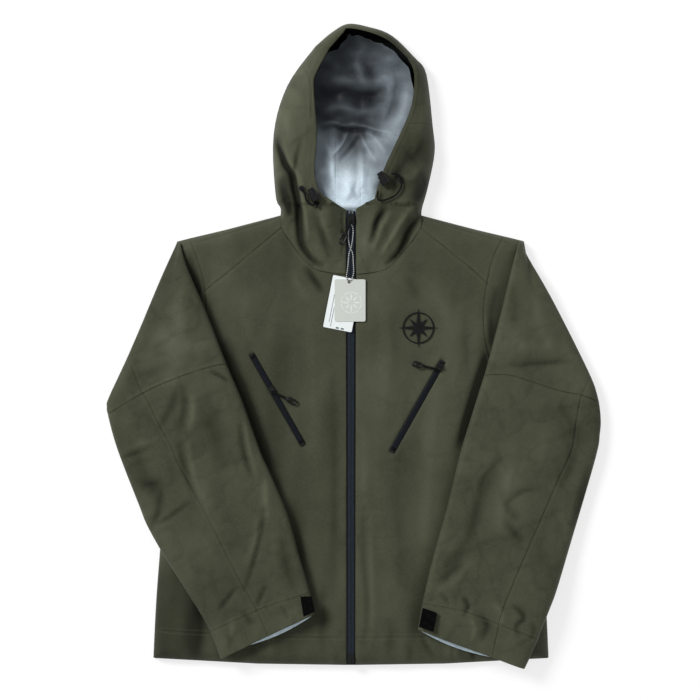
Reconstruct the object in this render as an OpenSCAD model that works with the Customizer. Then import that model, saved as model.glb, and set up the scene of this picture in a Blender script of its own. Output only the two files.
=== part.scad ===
// Waterproof hardshell jacket with a hood, lying flat on its back with the front up.
// The sleeves lie over the front. Left and right are the wearer's, so +X is the wearer's left.
// Cloth is drawn as plain layers of the right outline, with the air between them left open.

/* [Body] */
// half width of the body at the hem
hem_half = 316; // [306:1:322]
// half width of the body at the chest, below the arms
chest_half = 290; // [284:1:296]
// from the origin down to the side corners of the hem
hem_y = 499; // [495:1:503]
// how much further down the hem hangs at the middle
hem_dip = 11; // [6:1:12]
// half width at the shoulder tips
tip_x = 272; // [266:1:278]
// shoulder tips, above the origin
tip_y = 167; // [162:1:172]
// half gap between the two fronts, where the main zip lies
zip_gap = 6; // [6:0.1:7]

/* [Layers] */
// thickness drawn for the back
back_t = 4; // [3:0.5:5]
// thickness drawn for the fronts
front_t = 6; // [5:0.5:6]
// air between the back and the fronts
torso_air = 18; // [17:0.5:20]
// thickness drawn for the side walls
wall_t = 5; // [4:0.5:6]
// gap between the fronts and the sleeves that lie on them
sleeve_lift = 2; // [1:0.5:3]
// thickness drawn for each face of a sleeve
sleeve_t = 3; // [2:0.5:3]
// air inside a flat sleeve
sleeve_air = 18; // [16:1:20]
// height of the hood's rim above the floor
hood_h = 50; // [46:1:54]
// thickness drawn for the hood's rim
hood_t = 6; // [5:0.5:6]

/* [Zips] */
// tooth pitch drawn for the zip chains
pitch = 4; // [4:0.5:6]
// half width of the main chain
chain_half = 3.4; // [3.2:0.1:3.4]
// half width of the main slider
slider_half = 5.4; // [5.2:0.1:5.4]
// length of the main slider
slider_len = 14; // [12:1:15]
// clear opening of a hand pocket
pocket_len = 165; // [160:1:168]

/* [Sleeves] */
// radius of the elbow turn
elbow_r = 95; // [92:1:95]
// running gap at the elbow
elbow_gap = 1; // [1:0.1:2]
// radius of the arm hole
armhole_r = 30; // [26:1:31]

/* [Trims] */
// diameter of the elastic drawcord
cord_d = 3; // [2.5:0.1:3]
// diameter of the string of the hang tags
string_d = 1.4; // [1:0.1:1.6]
// thickness of a hang tag
tag_t = 0.6; // [0.4:0.1:0.6]
// radius of a cord lock's push button
button_r = 5; // [4.5:0.1:5]

/* [Hidden] */
f0 = back_t + torso_air;
f1 = f0 + front_t;
s0 = f1 + sleeve_lift;
s1 = s0 + sleeve_t;
s2 = s1 + sleeve_air;
s3 = s2 + sleeve_t;
neck_y = 219.5;
hood_y = 220;
cloth = [0.31, 0.31, 0.25];
cloth_dark = [0.24, 0.25, 0.19];
black = [0.09, 0.10, 0.11];
grey = [0.55, 0.60, 0.63];
hip_r = [-126, -70];
hip_l = [141, -34];
zip_r = [-158, -14];
zip_l = [146, -25];
zip_r_turn = -60.3;
zip_l_turn = -119.4;
pull_z = 32.2;
elbow_rt = [-292, -80];
elbow_lt = [300, -75];
shoulder_rt = [-240, 95];
shoulder_lt = [240, 95];
tag_hole = [-3, 101];

// ---- outlines -------------------------------------------------------------

function spline(a, b, c, d, t) =
    0.5 * (2 * b + (c - a) * t + (2 * a - 5 * b + 4 * c - d) * t * t
    + (3 * b - a - 3 * c + d) * t * t * t);
function at_end(p, i) = p[min(max(i, 0), len(p) - 1)];
// a smooth curve through the points, n steps from each to the next
function smooth(p, n = 3) = concat(
    [for (i = [0:len(p) - 2]) for (k = [0:n - 1])
        spline(at_end(p, i - 1), p[i], p[i + 1], at_end(p, i + 2), k / n)],
    [p[len(p) - 1]]);
function rev(p) = [for (i = [len(p) - 1:-1:0]) p[i]];
function flip(p) = [for (q = p) [-q[0], q[1]]];
function unit(v) = v / norm(v);
function left_of(v) = [-v[1], v[0]];
// the same open curve, moved to its left by d
function beside(p, d) = [for (i = [0:len(p) - 1])
    p[i] + d * left_of(unit(at_end(p, i + 1) - at_end(p, i - 1)))];
function strip(p, d) = concat(p, rev(beside(p, d)));
module slab(p, z0, z1) {
    translate([0, 0, z0])
        linear_extrude(height = z1 - z0)
            polygon(p);
}

module box(x0, y0, z0, x1, y1, z1) {
    translate([x0, y0, z0])
        cube([x1 - x0, y1 - y0, z1 - z0]);
}

body_side = smooth([
    [hem_half, -hem_y], [hem_half - 5, -400], [chest_half + 9, -240],
    [chest_half + 2, -80], [chest_half - 4, 40], [chest_half - 8, 110], [tip_x, tip_y],
]);
shoulder = [[259, 171], [200, 185], [112, 208]];
armhole_seam = [[259, 171], [239, 118], [229, 85]];
yoke_seam = [[229, 85], [195, 117], [111, 187]];
neck_seam = [[111, 187], [86, 151], [60, 124], [35, 116], [zip_gap, 113]];
hem_half_line = [[zip_gap, -hem_y - hem_dip], [150, -hem_y - hem_dip + 2]];

front_line = concat(hem_half_line, body_side, armhole_seam, [yoke_seam[1]], neck_seam);
yoke_line = concat(rev(shoulder), [armhole_seam[1], armhole_seam[2], yoke_seam[1], yoke_seam[2]]);
collar_line = concat(rev(neck_seam),
    [[112, 208], [112, neck_y - 1], [60, neck_y - 0.5], [12, 215], [zip_gap, 213]]);

// ---- body -----------------------------------------------------------------

module back_panel() {
    half = concat([[0, -hem_y - hem_dip], [150, -hem_y - hem_dip + 2]], body_side,
        [[200, 185], [112, 208], [112, neck_y], [0, neck_y]]);
    color(cloth)
        slab(concat(half, rev(flip(half))), 0, back_t);
}

module pocket_slot() {
    translate([-3, -6.5, f0 - 1])
        cube([pocket_len + 6, 13, front_t + 2]);
}

module front() {
    difference() {
        union() {
            slab(front_line, f0, f1);
            slab(strip(concat(body_side, [[259, 171]]), wall_t), back_t, f0);
        }
        translate([shoulder_lt[0], shoulder_lt[1], f0 - 1])
            cylinder(h = front_t + 2, r = armhole_r, $fn = 72);
    }
}

module front_left() {
    color(cloth)
        difference() {
            front();
            translate([zip_l[0], zip_l[1], 0])
                rotate([0, 0, zip_l_turn])
                    pocket_slot();
        }
}

module front_right() {
    color(cloth)
        difference() {
            mirror([1, 0, 0])
                front();
            translate([zip_r[0], zip_r[1], 0])
                rotate([0, 0, zip_r_turn])
                    pocket_slot();
        }
}

module yoke_left() {
    color(cloth)
        difference() {
            union() {
                slab(yoke_line, f0, f1);
                slab(strip(concat([[258, 171.2]], [shoulder[1], shoulder[2]]), wall_t), back_t, f0);
            }
            translate([shoulder_lt[0], shoulder_lt[1], f0 - 1])
                cylinder(h = front_t + 2, r = armhole_r, $fn = 72);
        }
}

module yoke_right() {
    mirror([1, 0, 0])
        yoke_left();
}

module hem_facing_back() {
    p = [[-300, -492], [0, -507], [300, -492], [297, -452], [0, -462], [-297, -452]];
    color(grey)
        slab(p, back_t + 0.1, back_t + 1.4);
}

module hem_facing_left() {
    color(grey)
        slab([[17.5, -507], [150, -505], [303, -494], [298, -452], [150, -462], [17.5, -463]],
            f0 - 1.8, f0 - 0.1);
}

module hem_facing_right() {
    mirror([1, 0, 0])
        hem_facing_left();
}

module storm_flap() {
    color(cloth_dark)
        box(-16, -505, f0 - 3.8, 16, 205, f0 - 2);
}

module collar_left() {
    color(cloth) {
        slab(collar_line, f0, f1);
        slab([[40, 119], [60, 127], [84, 153], [108, 188], [111, 216], [60, 217], [40, 200]],
            f1, f1 + 8);
        slab([[105, 188], [109.8, 188], [109.8, 206], [111.5, 209], [111.5, neck_y - 1],
            [106, neck_y - 1]], back_t, f0);
    }
}

module collar_right() {
    mirror([1, 0, 0])
        collar_left();
}

module collar_lining() {
    half = [[17.5, 118], [35, 120], [58, 128], [82, 154], [105, 189], [106, 214], [60, 215], [17.5, 212]];
    color(grey) {
        slab(half, f0 - 1.5, f0 - 0.1);
        slab(flip(half), f0 - 1.5, f0 - 0.1);
    }
}

// ---- main zip --------------------------------------------------------------

zip_low = -490;
zip_top = 214;
tape_z = f0 - 1.7;
chain_z = f0 - 0.1;

module main_tape_left() {
    color(black)
        box(0.8, -506, tape_z, 16, zip_top, chain_z - 0.1);
}

module main_tape_right() {
    mirror([1, 0, 0])
        main_tape_left();
}

// a rack of teeth along +Y from y = 0; the teeth point to -X and reach x = reach
function rack(n, edge, root, reach) = concat([[edge, 0], [edge, n * pitch]],
    [for (i = [n - 1:-1:0]) each [
        [root, (i + 0.72) * pitch], [reach, (i + 0.64) * pitch],
        [reach, (i + 0.36) * pitch], [root, (i + 0.28) * pitch]]]);

chain_n = floor((zip_top - 4 - zip_low) / pitch) - 1;

module main_chain_left() {
    color(black)
        translate([0, zip_low, chain_z])
            linear_extrude(height = 3)
                polygon(rack(chain_n, chain_half, 0.6, -0.3));
}

module main_chain_right() {
    color(black)
        translate([0, zip_low + pitch / 2, chain_z])
            linear_extrude(height = 3)
                mirror([1, 0])
                    polygon(rack(chain_n, chain_half, 0.6, -0.3));
}

module main_top_stops() {
    color([0.75, 0.76, 0.78]) {
        box(1.4, 210, chain_z, 3.6, 213.5, chain_z + 4);
        box(-3.6, 210, chain_z, -1.4, 213.5, chain_z + 4);
    }
}

module main_zip_box() {
    color([0.75, 0.76, 0.78]) {
        difference() {
            box(-5, -506, chain_z, 5, -491, chain_z + 5.2);
            translate([0, -506, chain_z + 5.2])
                rotate([-90, 0, 0])
                    cylinder(h = 6, r = 1.5, $fn = 48);
        }
        translate([2.2, -491, chain_z + 4.2])
            rotate([-90, 0, 0])
                cylinder(h = 0.7, r = 0.9, $fn = 48);
    }
}

// a slider along X: two flanges beside the chain, a top plate and a bridge for the pull
module slider(half_w, half_chain, length, z_low, z_plate) {
    difference() {
        union() {
            translate([-length / 2, -half_w, z_low])
                cube([length, 2 * half_w, z_plate + 2.2 - z_low]);
            translate([-2.6, -3.6, z_plate])
                cube([5.2, 7.2, pull_z + 1.6 - z_plate]);
        }
        translate([-length / 2 - 1, -half_chain - 0.3, z_low - 1])
            cube([length + 2, 2 * half_chain + 0.6, z_plate - z_low + 1]);
        translate([-4, -2.1, z_plate + 2.2])
            cube([8, 4.2, pull_z + 3 - z_plate]);
    }
    translate([0, -3.6, pull_z])
        rotate([-90, 0, 0])
            cylinder(h = 7.2, r = 0.9, $fn = 48);
}

// a pull that hangs along +X from a cross bar at the origin and then lies at an angle
module pull(length, half_w, bend) {
    difference() {
        union() {
            translate([0, 1.6, 0])
                rotate([90, 0, 0])
                    cylinder(h = 3.2, r = 2.1, $fn = 48);
            translate([1.2, -1.6, -1])
                cube([4.2, 3.2, 2]);
        }
        translate([0, 4, 0])
            rotate([90, 0, 0])
                cylinder(h = 8, r = 1.15, $fn = 48);
    }
    translate([5, 0, 0])
        rotate([0, 0, bend]) {
            translate([0, -1.6, -1])
                cube([length - 5 - half_w * 2, 3.2, 2]);
            translate([0, 0, -1])
                cylinder(h = 2, r = 1.6, $fn = 48);
            translate([-5, 0, 0])
                grip(length, half_w);
        }
}

// the moulded finger grip at the end of a pull
module grip(length, half_w) {
    translate([0, 0, -1.8])
        difference() {
            union() {
                translate([length - half_w, 0, 0])
                    cylinder(h = 3.6, r = half_w, $fn = 48);
                translate([length - half_w * 2.6, 0, 0])
                    cylinder(h = 3.6, r = half_w, $fn = 48);
                translate([length - half_w * 2.6, -half_w, 0])
                    cube([half_w * 1.6, half_w * 2, 3.6]);
            }
            translate([length - half_w * 2.6, -half_w * 0.45, 2.6])
                cube([half_w * 1.6, half_w * 0.9, 2]);
        }
}

module main_slider() {
    color(black)
        translate([0, 200, 0])
            rotate([0, 0, 90])
                slider(slider_half, chain_half, slider_len, chain_z + 0.4, chain_z + 3.4);
}

module main_pull() {
    color(black)
        translate([0, 200, pull_z])
            rotate([0, 0, -90])
                pull(44, 6, -27);
}

// ---- hand pockets -----------------------------------------------------------

module at_zip_right() {
    translate([zip_r[0], zip_r[1], 0])
        rotate([0, 0, zip_r_turn])
            children();
}

module at_zip_left() {
    translate([zip_l[0], zip_l[1], 0])
        rotate([0, 0, zip_l_turn])
            children();
}

module pocket_tape() {
    color(black)
        difference() {
            box(-2.5, -6.2, f0 + 1, pocket_len + 2.5, 6.2, f0 + 2.4);
            box(6, -0.25, f0, pocket_len - 6, 0.25, f0 + 3);
        }
}

module pocket_chain() {
    n = floor((pocket_len - 8) / pitch);
    ribs = concat(
        [for (i = [0:n - 1]) each [
            [(i + 0.28) * pitch, 1.7], [(i + 0.36) * pitch, 2.3],
            [(i + 0.64) * pitch, 2.3], [(i + 0.72) * pitch, 1.7]]]);
    color(black)
        translate([4, 0, f0 + 2.5])
            linear_extrude(height = 2)
                polygon(concat([[0, 1.7]], ribs, [[n * pitch, 1.7], [n * pitch, 0.3], [0, 0.3]]));
    color(black)
        translate([4, 0, f0 + 2.5])
            linear_extrude(height = 2)
                mirror([0, 1])
                    polygon(concat([[0, 1.7]], ribs, [[n * pitch, 1.7], [n * pitch, 0.3], [0, 0.3]]));
}

module pocket_tape_right() { at_zip_right() pocket_tape(); }
module pocket_tape_left() { at_zip_left() pocket_tape(); }
module pocket_chain_right() { at_zip_right() pocket_chain(); }
module pocket_chain_left() { at_zip_left() pocket_chain(); }

module zip_stop_pair() {
    box(-1, -3.8, f0 + 2.5, 2.6, 3.8, f0 + 5);
    box(pocket_len - 2.6, -3.8, f0 + 2.5, pocket_len + 1, 3.8, f0 + 5);
}

module pocket_zip_stops() {
    color(black) {
        at_zip_right() zip_stop_pair();
        at_zip_left() zip_stop_pair();
    }
}

module pocket_slider_right() {
    color(black)
        translate([hip_r[0], hip_r[1], 0])
            rotate([0, 0, zip_r_turn])
                slider(4.4, 2.6, 11, f0 + 2.8, f0 + 5);
}

module pocket_slider_left() {
    color(black)
        translate([hip_l[0], hip_l[1], 0])
            rotate([0, 0, zip_l_turn])
                slider(4.4, 2.6, 11, f0 + 2.8, f0 + 5);
}

module pocket_pull_right() {
    color(black)
        translate([hip_r[0], hip_r[1], pull_z])
            rotate([0, 0, zip_r_turn])
                pull(46, 5, 35);
}

module pocket_pull_left() {
    color(black)
        translate([hip_l[0], hip_l[1], pull_z])
            rotate([0, 0, zip_l_turn])
                pull(48, 5, -74);
}

bag_line = [[34, -210], [150, -214], [176, -120], [178, 8], [60, 10], [34, -60]];

module pocket_bag_left() {
    color(grey) {
        slab(bag_line, 8, 9.5);
        difference() {
            slab(bag_line, 9.5, f0 - 2);
            slab([[37, -207], [147, -211], [173, -120], [175, 5], [61.5, 7], [37, -61]], 9, f0);
        }
    }
}

module pocket_bag_right() {
    mirror([1, 0, 0])
        pocket_bag_left();
}

// ---- chest ------------------------------------------------------------------

// an eight-pointed star with a ring: a plain embroidered motif
module chest_emblem() {
    color(black)
        translate([107, 28, f1])
            linear_extrude(height = 0.8) {
                polygon([for (i = [0:15])
                    let (r = i % 2 == 1 ? 8 : (i % 4 == 0 ? 31 : 20))
                    [r * sin(i * 22.5), r * cos(i * 22.5)]]);
                difference() {
                    circle(r = 25, $fn = 96);
                    circle(r = 23, $fn = 96);
                }
            }
}

// ---- sleeves ------------------------------------------------------------------

// forearm: a disc about the elbow, then out to the cuff
module forearm_shape(e, outer, inner) {
    translate([e[0], e[1]])
        circle(r = elbow_r, $fn = 96);
    polygon(concat(outer, rev(inner), [e]));
}

module upper_shape(e, line) {
    difference() {
        polygon(line);
        translate([e[0], e[1]])
            circle(r = elbow_r + elbow_gap, $fn = 96);
    }
}

// upper arms, as outlines with their inner hollow
upper_rt = concat([[-258, 171], [-277, 167], [-316, 76], [-355, -15], [-385, -84], elbow_rt,
    [-200, -24]], [[-231, 54], [-230, 84], [-239, 118]]);
hollow_rt = [[-256, 164], [-273, 161], [-312, 75], [-351, -17], [-378, -78], [-420, -160], [-170, -160],
    [-205, -23], [-236, 54], [-235, 85], [-244, 119]];
upper_lt = concat([[258, 171], [239, 118], [230, 84], [240, 60], [221, -14], elbow_lt, [394, -78],
    [384, -47], [328, 60], [272, 166]]);
hollow_lt = [[256, 164], [244, 119], [235, 85], [245, 61], [226, -20], [180, -170], [440, -170],
    [391, -80], [379, -49], [323, 59], [269, 161]];

module upper_sleeve(e, s, line, hollow) {
    color(cloth)
        difference() {
            translate([0, 0, s0])
                linear_extrude(height = s3 - s0)
                    upper_shape(e, line);
            slab(hollow, s1, s2);
            translate([s[0], s[1], s0 - 1])
                cylinder(h = sleeve_t + 2, r = armhole_r, $fn = 72);
        }
}

module upper_sleeve_right() {
    upper_sleeve(elbow_rt, shoulder_rt, upper_rt, hollow_rt);
}

module upper_sleeve_left() {
    upper_sleeve(elbow_lt, shoulder_lt, upper_lt, hollow_lt);
}

forearm_r_outer = [[-389, -92], [-388, -112], [-373, -167], [-338, -254], [-314, -305], [-230, -439],
    [-224, -454]];
forearm_r_inner = [[-197, -30], [-146, -161], [-130, -209], [-98, -286], [-66, -386]];
forearm_l_outer = [[384, -60], [400, -90], [397, -112], [392, -167], [334, -368], [312, -427], [297, -466]];
forearm_l_inner = [[214, -30], [178, -167], [152, -257], [128, -343], [113, -413]];

module forearm(e, outer, inner, hollow) {
    color(cloth)
        difference() {
            translate([0, 0, s0])
                linear_extrude(height = s3 - s0)
                    forearm_shape(e, outer, inner);
            slab(hollow, s1, s2);
        }
}

module forearm_right() {
    forearm(elbow_rt, forearm_r_outer, forearm_r_inner,
        [[-293, 80], [-380, 30], [-380, -90], [-383, -112], [-368, -165], [-333, -252], [-309, -303],
            [-226, -437], [-210, -480], [-60, -400], [-71, -388], [-103, -287], [-135, -210],
            [-151, -162], [-184, -80], [-203, -32], [-203, 40]]);
}

module forearm_left() {
    forearm(elbow_lt, forearm_l_outer, forearm_l_inner,
        [[300, 60], [212, 10], [212, -60], [183, -168], [157, -258], [133, -344], [116, -430],
            [292, -480], [307, -428], [329, -369], [387, -168], [392, -112], [388, -80], [388, 10]]);
}

cuff_r = [[-224, -454.5], [-206, -497], [-58, -426], [-66, -386.5]];
cuff_l = [[297, -466.5], [113, -413.5], [106, -450], [275, -513]];

module cuff_right() {
    color(cloth)
        difference() {
            slab(cuff_r, s0, s3);
            slab([[-226, -445], [-204, -505], [-58, -436], [-70, -380]], s1, s2);
        }
}

module cuff_left() {
    color(cloth)
        difference() {
            slab(cuff_l, s0, s3);
            slab([[293, -455], [117, -405], [108, -462], [274, -522]], s1, s2);
        }
}

module cuff_tab_right() {
    color(black)
        slab([[-80, -396], [-62, -396], [-57, -420], [-75, -428]], s3 + 1.3, s3 + 3.3);
}

module cuff_tab_left() {
    color(black)
        slab([[113, -414], [136, -422], [130, -452], [107, -444]], s3 + 1.3, s3 + 3.3);
}

module cuff_base_right() {
    color(black)
        slab([[-79, -397.5], [-69, -397], [-66, -420], [-74, -425]], s3, s3 + 1);
}

module cuff_base_left() {
    color(black)
        slab([[121, -419], [135, -423.5], [130, -450], [116, -446]], s3, s3 + 1);
}

// ---- hood ---------------------------------------------------------------------

rim_l = smooth([[113, hood_y], [122, 252], [133, 308], [130, 350], [120, 433], [104, 457]]);
rim_t = smooth([[104, 457], [66, 494], [29, 508], [-5, 513], [-30, 500], [-56, 478]]);
rim_r = smooth([[-56, 478], [-101, 415], [-123, 337], [-120, 242], [-112, hood_y]]);
face_l = smooth([[90, 456], [100, 430], [96, 380], [78, 335], [66, 310], [50, 274], [40, 247], [38, hood_y]]);
face_t = smooth([[-34, 470], [-12, 495], [-5, 502], [28, 496], [60, 482], [90, 456]]);
face_r = smooth([[-50, hood_y], [-54, 247], [-58, 279], [-54, 335], [-59, 410], [-54, 433], [-34, 470]]);

rim_all = concat(rim_l, [for (i = [1:len(rim_t) - 2]) rim_t[i]], rim_r);

module hood_back() {
    color(cloth)
        slab(rim_all, 0, back_t);
}

// the same open curve, with d taken off each end
function shorter(p, d) = let (n = len(p) - 1) concat(
    [p[0] + d * unit(p[1] - p[0])], [for (i = [1:n - 1]) p[i]], [p[n] + d * unit(p[n - 1] - p[n])]);

module hood_part(rim, face) {
    slab(concat(rim, face), hood_h - hood_t, hood_h);
    slab(strip(shorter(rim, 1.6), wall_t), back_t, hood_h - hood_t);
}

eyelet_r = [-78, 248];
eyelet_l = [78, 262];

module eyelet_hole(at) {
    translate([at[0], at[1], hood_h - hood_t - 1])
        cylinder(h = hood_t + 2, r = 2.2, $fn = 48);
}

module hood_side_left() {
    color(cloth)
        difference() {
            hood_part(rim_l, face_l);
            eyelet_hole(eyelet_l);
        }
}

module hood_side_right() {
    color(cloth)
        difference() {
            hood_part(rim_r, face_r);
            eyelet_hole(eyelet_r);
        }
}

module hood_brim() {
    color(cloth)
        hood_part(rim_t, face_t);
}

lining_line = smooth([
    [105, 228], [114, 252], [125, 308], [122, 350], [112, 430], [98, 451], [62, 486], [27, 499],
    [-5, 504], [-27, 492], [-50, 472], [-93, 412], [-115, 337], [-112, 242], [-104, 228],
], 2);

module hood_lining() {
    color(grey)
        slab(lining_line, back_t + 0.1, back_t + 2);
}

module hood_seam_tapes() {
    color(grey) {
        box(-28, 232, back_t + 2.1, -20, 330, back_t + 2.6);
        box(12, 232, back_t + 2.1, 20, 330, back_t + 2.6);
        slab(strip(smooth([[70, 318], [40, 335], [-4, 342], [-48, 330], [-78, 312]], 4), 8),
            back_t + 2.1, back_t + 2.6);
    }
}

// a plain tube of n sides along the points p
function tube_ring(p, i, r, n, up) =
    let (t = unit(at_end(p, i + 1) - at_end(p, i - 1)), a = unit(cross(up, t)), b = cross(t, a))
    [for (k = [0:n - 1]) p[i] + r * (cos(k * 360 / n) * a + sin(k * 360 / n) * b)];

module tube(p, r, n = 8, up = [0, 0.02, 1]) {
    m = len(p);
    polyhedron(
        points = [for (i = [0:m - 1]) each tube_ring(p, i, r, n, up)],
        faces = concat(
            [[for (k = [0:n - 1]) k], [for (k = [n - 1:-1:0]) (m - 1) * n + k]],
            [for (i = [0:m - 2]) for (k = [0:n - 1]) each [
                [i * n + k, (i + 1) * n + k, (i + 1) * n + (k + 1) % n],
                [i * n + k, (i + 1) * n + (k + 1) % n, i * n + (k + 1) % n]]]));
}

cord_z = hood_h - hood_t - 2.5;
channel = smooth([
    [-57, 250, cord_z], [-63, 280, cord_z], [-60, 335, cord_z], [-65, 405, cord_z], [-58, 440, cord_z],
    [-38, 474, cord_z], [-6, 503, cord_z], [28, 498, cord_z], [60, 484, cord_z], [91, 458, cord_z],
    [104, 428, cord_z], [100, 382, cord_z], [83, 335, cord_z], [71, 308, cord_z], [55, 276, cord_z],
    [46, 250, cord_z],
], 3);

module hood_drawcord() {
    color(black)
        tube(channel, cord_d / 2);
}

module eyelet(at) {
    translate([at[0], at[1], hood_h])
        difference() {
            cylinder(h = 1.2, r = 4.5, $fn = 48);
            translate([0, 0, -1])
                cylinder(h = 4, r = 2.2, $fn = 48);
        }
}

module hood_eyelets() {
    color(black) {
        eyelet(eyelet_r);
        eyelet(eyelet_l);
    }
}

// a cord lock that lies along X, its button at +X
module lock_body() {
    difference() {
        union() {
            translate([-8, 0, 0])
                rotate([0, 90, 0])
                    cylinder(h = 16, r = 7, $fn = 64);
            translate([-8, -8, -6])
                cube([9, 16, 8]);
        }
        translate([-5.5, 0, 0])
            rotate([0, 90, 0])
                cylinder(h = 20, r = button_r + 0.3, $fn = 64);
        translate([-2, 0, -20])
            cylinder(h = 14.6, r = 2, $fn = 48);
        translate([3, 20, 0])
            rotate([90, 0, 0])
                cylinder(h = 40, r = 2.2, $fn = 48);
    }
}

module lock_button() {
    difference() {
        translate([-1, 0, 0])
            rotate([0, 90, 0])
                cylinder(h = 14, r = button_r, $fn = 64);
        translate([0.6, 20, -2])
            cube([4.8, 40, 4], center = false);
        translate([0.6, -20, -2])
            cube([4.8, 60, 4], center = false);
    }
}

module lock_spring() {
    translate([-5.4, 0, 0])
        rotate([0, 90, 0])
            difference() {
                cylinder(h = 1.2, r = 3.4, $fn = 48);
                translate([0, 0, -1])
                    cylinder(h = 4, r = 2.2, $fn = 48);
            }
}

lock_z = hood_h + 7.6;

module at_lock_right() {
    translate([-58, 236, lock_z])
        rotate([0, 0, 120])
            children();
}

module at_lock_left() {
    translate([52, 262, lock_z])
        rotate([0, 0, 125])
            children();
}

module cord_lock_right() { color(black) at_lock_right() lock_body(); }
module cord_lock_left() { color(black) at_lock_left() lock_body(); }
module lock_button_right() { color(black) at_lock_right() lock_button(); }
module lock_button_left() { color(black) at_lock_left() lock_button(); }

module lock_springs() {
    color([0.7, 0.7, 0.72]) {
        at_lock_right() lock_spring();
        at_lock_left() lock_spring();
    }
}

end_path = smooth([
    [-78, 248, hood_h - 2], [-78, 248, hood_h + 3], [-77, 245, hood_h + 6], [-73, 239, hood_h + 5],
    [-70, 229, hood_h + 3], [-63, 222, hood_h + 3], [-56, 223, hood_h + 3],
], 4);

module cord_end_right() {
    color(black) {
        tube(end_path, cord_d / 2, 8, [1, 1, 0]);
        translate([-54, 223, hood_h + 4.2])
            sphere(r = 4, $fn = 32);
    }
}

loop_path = smooth([
    [64, 271, lock_z - 3], [74, 272, hood_h + 4], [86, 262, hood_h + 3], [84, 246, hood_h + 2.6],
    [68, 236, hood_h + 2.6], [48, 228, hood_h + 2.6], [43, 233, hood_h + 2.6], [44, 244, hood_h + 3],
], 4);

module cord_loop_left() {
    color(black)
        tube(loop_path, cord_d / 2);
}

// ---- hang tags -------------------------------------------------------------------

string_z = f1 + 1.1;
string_path = smooth([
    [0.9, 205.4, string_z], [4.7, 203.6, string_z], [4.7, 197, string_z], [3.4, 186, string_z],
    [2, 168, string_z], [4.4, 148, string_z], [3.4, 126, string_z], [-0.6, 109, 33], [-1.7, 103.2, 31.6],
    [-2, 101, 29.8], [-4, 101, 29.8], [-4.3, 103.2, 31.6], [-5, 109, 33], [-6.4, 128, string_z],
    [-1.6, 150, string_z], [-2, 168, string_z], [-3.4, 186, string_z], [-4.7, 197, string_z],
    [-4.7, 203.6, string_z], [-0.9, 205.4, string_z],
], 4);

module tag_string() {
    color([0.85, 0.85, 0.82])
        tube(string_path, string_d / 2);
}

module tag_card(w, l, r) {
    for (x = [r, w - r])
        for (y = [r, l - r])
            translate([x, y])
                circle(r = r, $fn = 48);
    translate([r, 0])
        square([w - 2 * r, l]);
    translate([0, r])
        square([w, l - 2 * r]);
}

module tag_front() {
    color([0.86, 0.86, 0.80])
        difference() {
            translate([-26, 38, f1 + 1.6])
                linear_extrude(height = tag_t)
                    tag_card(49, 67, 3);
            translate([tag_hole[0], tag_hole[1], f1])
                cylinder(h = 4, r = 2.6, $fn = 48);
        }
}

module tag_back() {
    color([0.93, 0.94, 0.93])
        difference() {
            translate([tag_hole[0], tag_hole[1], f1 + 0.6])
                rotate([0, 0, -11])
                    translate([-27, -78, 0])
                        linear_extrude(height = tag_t)
                            tag_card(46, 84, 2);
            translate([tag_hole[0], tag_hole[1], f1])
                cylinder(h = 4, r = 2.6, $fn = 48);
        }
}

// ---- the parts ---------------------------------------------------------------------

back_panel();
front_right();
front_left();
yoke_right();
yoke_left();
hem_facing_back();
hem_facing_right();
hem_facing_left();
storm_flap();
collar_right();
collar_left();
collar_lining();
main_tape_right();
main_tape_left();
main_chain_right();
main_chain_left();
main_top_stops();
main_zip_box();
main_slider();
main_pull();
pocket_tape_right();
pocket_tape_left();
pocket_chain_right();
pocket_chain_left();
pocket_zip_stops();
pocket_slider_right();
pocket_slider_left();
pocket_pull_right();
pocket_pull_left();
pocket_bag_right();
pocket_bag_left();
chest_emblem();
upper_sleeve_right();
forearm_right();
cuff_right();
cuff_tab_right();
upper_sleeve_left();
forearm_left();
cuff_left();
cuff_tab_left();
cuff_base_right();
cuff_base_left();
hood_back();
hood_side_right();
hood_side_left();
hood_brim();
hood_lining();
hood_seam_tapes();
hood_drawcord();
hood_eyelets();
cord_lock_right();
cord_lock_left();
lock_button_right();
lock_button_left();
lock_springs();
cord_end_right();
cord_loop_left();
tag_string();
tag_front();
tag_back();
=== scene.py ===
"""A hardshell jacket laid flat on a pale floor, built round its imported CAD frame.

Lengths inside the cloth functions are millimetres; meshes are made in metres.
"""
import math

import bpy
import numpy as np
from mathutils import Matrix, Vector
from mathutils.geometry import delaunay_2d_cdt


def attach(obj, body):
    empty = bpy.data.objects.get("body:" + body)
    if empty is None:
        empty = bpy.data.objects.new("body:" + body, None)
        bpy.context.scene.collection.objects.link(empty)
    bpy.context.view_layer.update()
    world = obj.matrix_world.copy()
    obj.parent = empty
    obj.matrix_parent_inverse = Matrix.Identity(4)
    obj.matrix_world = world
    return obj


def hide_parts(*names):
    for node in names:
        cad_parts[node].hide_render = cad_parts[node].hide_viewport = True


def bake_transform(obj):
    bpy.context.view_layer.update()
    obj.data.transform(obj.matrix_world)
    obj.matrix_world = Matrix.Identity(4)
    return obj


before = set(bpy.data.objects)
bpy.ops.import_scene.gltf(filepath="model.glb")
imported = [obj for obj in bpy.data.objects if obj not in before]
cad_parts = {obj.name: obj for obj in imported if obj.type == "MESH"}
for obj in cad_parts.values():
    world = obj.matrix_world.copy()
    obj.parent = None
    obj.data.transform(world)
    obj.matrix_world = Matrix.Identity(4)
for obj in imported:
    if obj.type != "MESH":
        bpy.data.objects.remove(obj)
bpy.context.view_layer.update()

MM = 0.001
SCENE = bpy.context.scene
COLLECTION = SCENE.collection

# ---- camera -----------------------------------------------------------------

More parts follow.
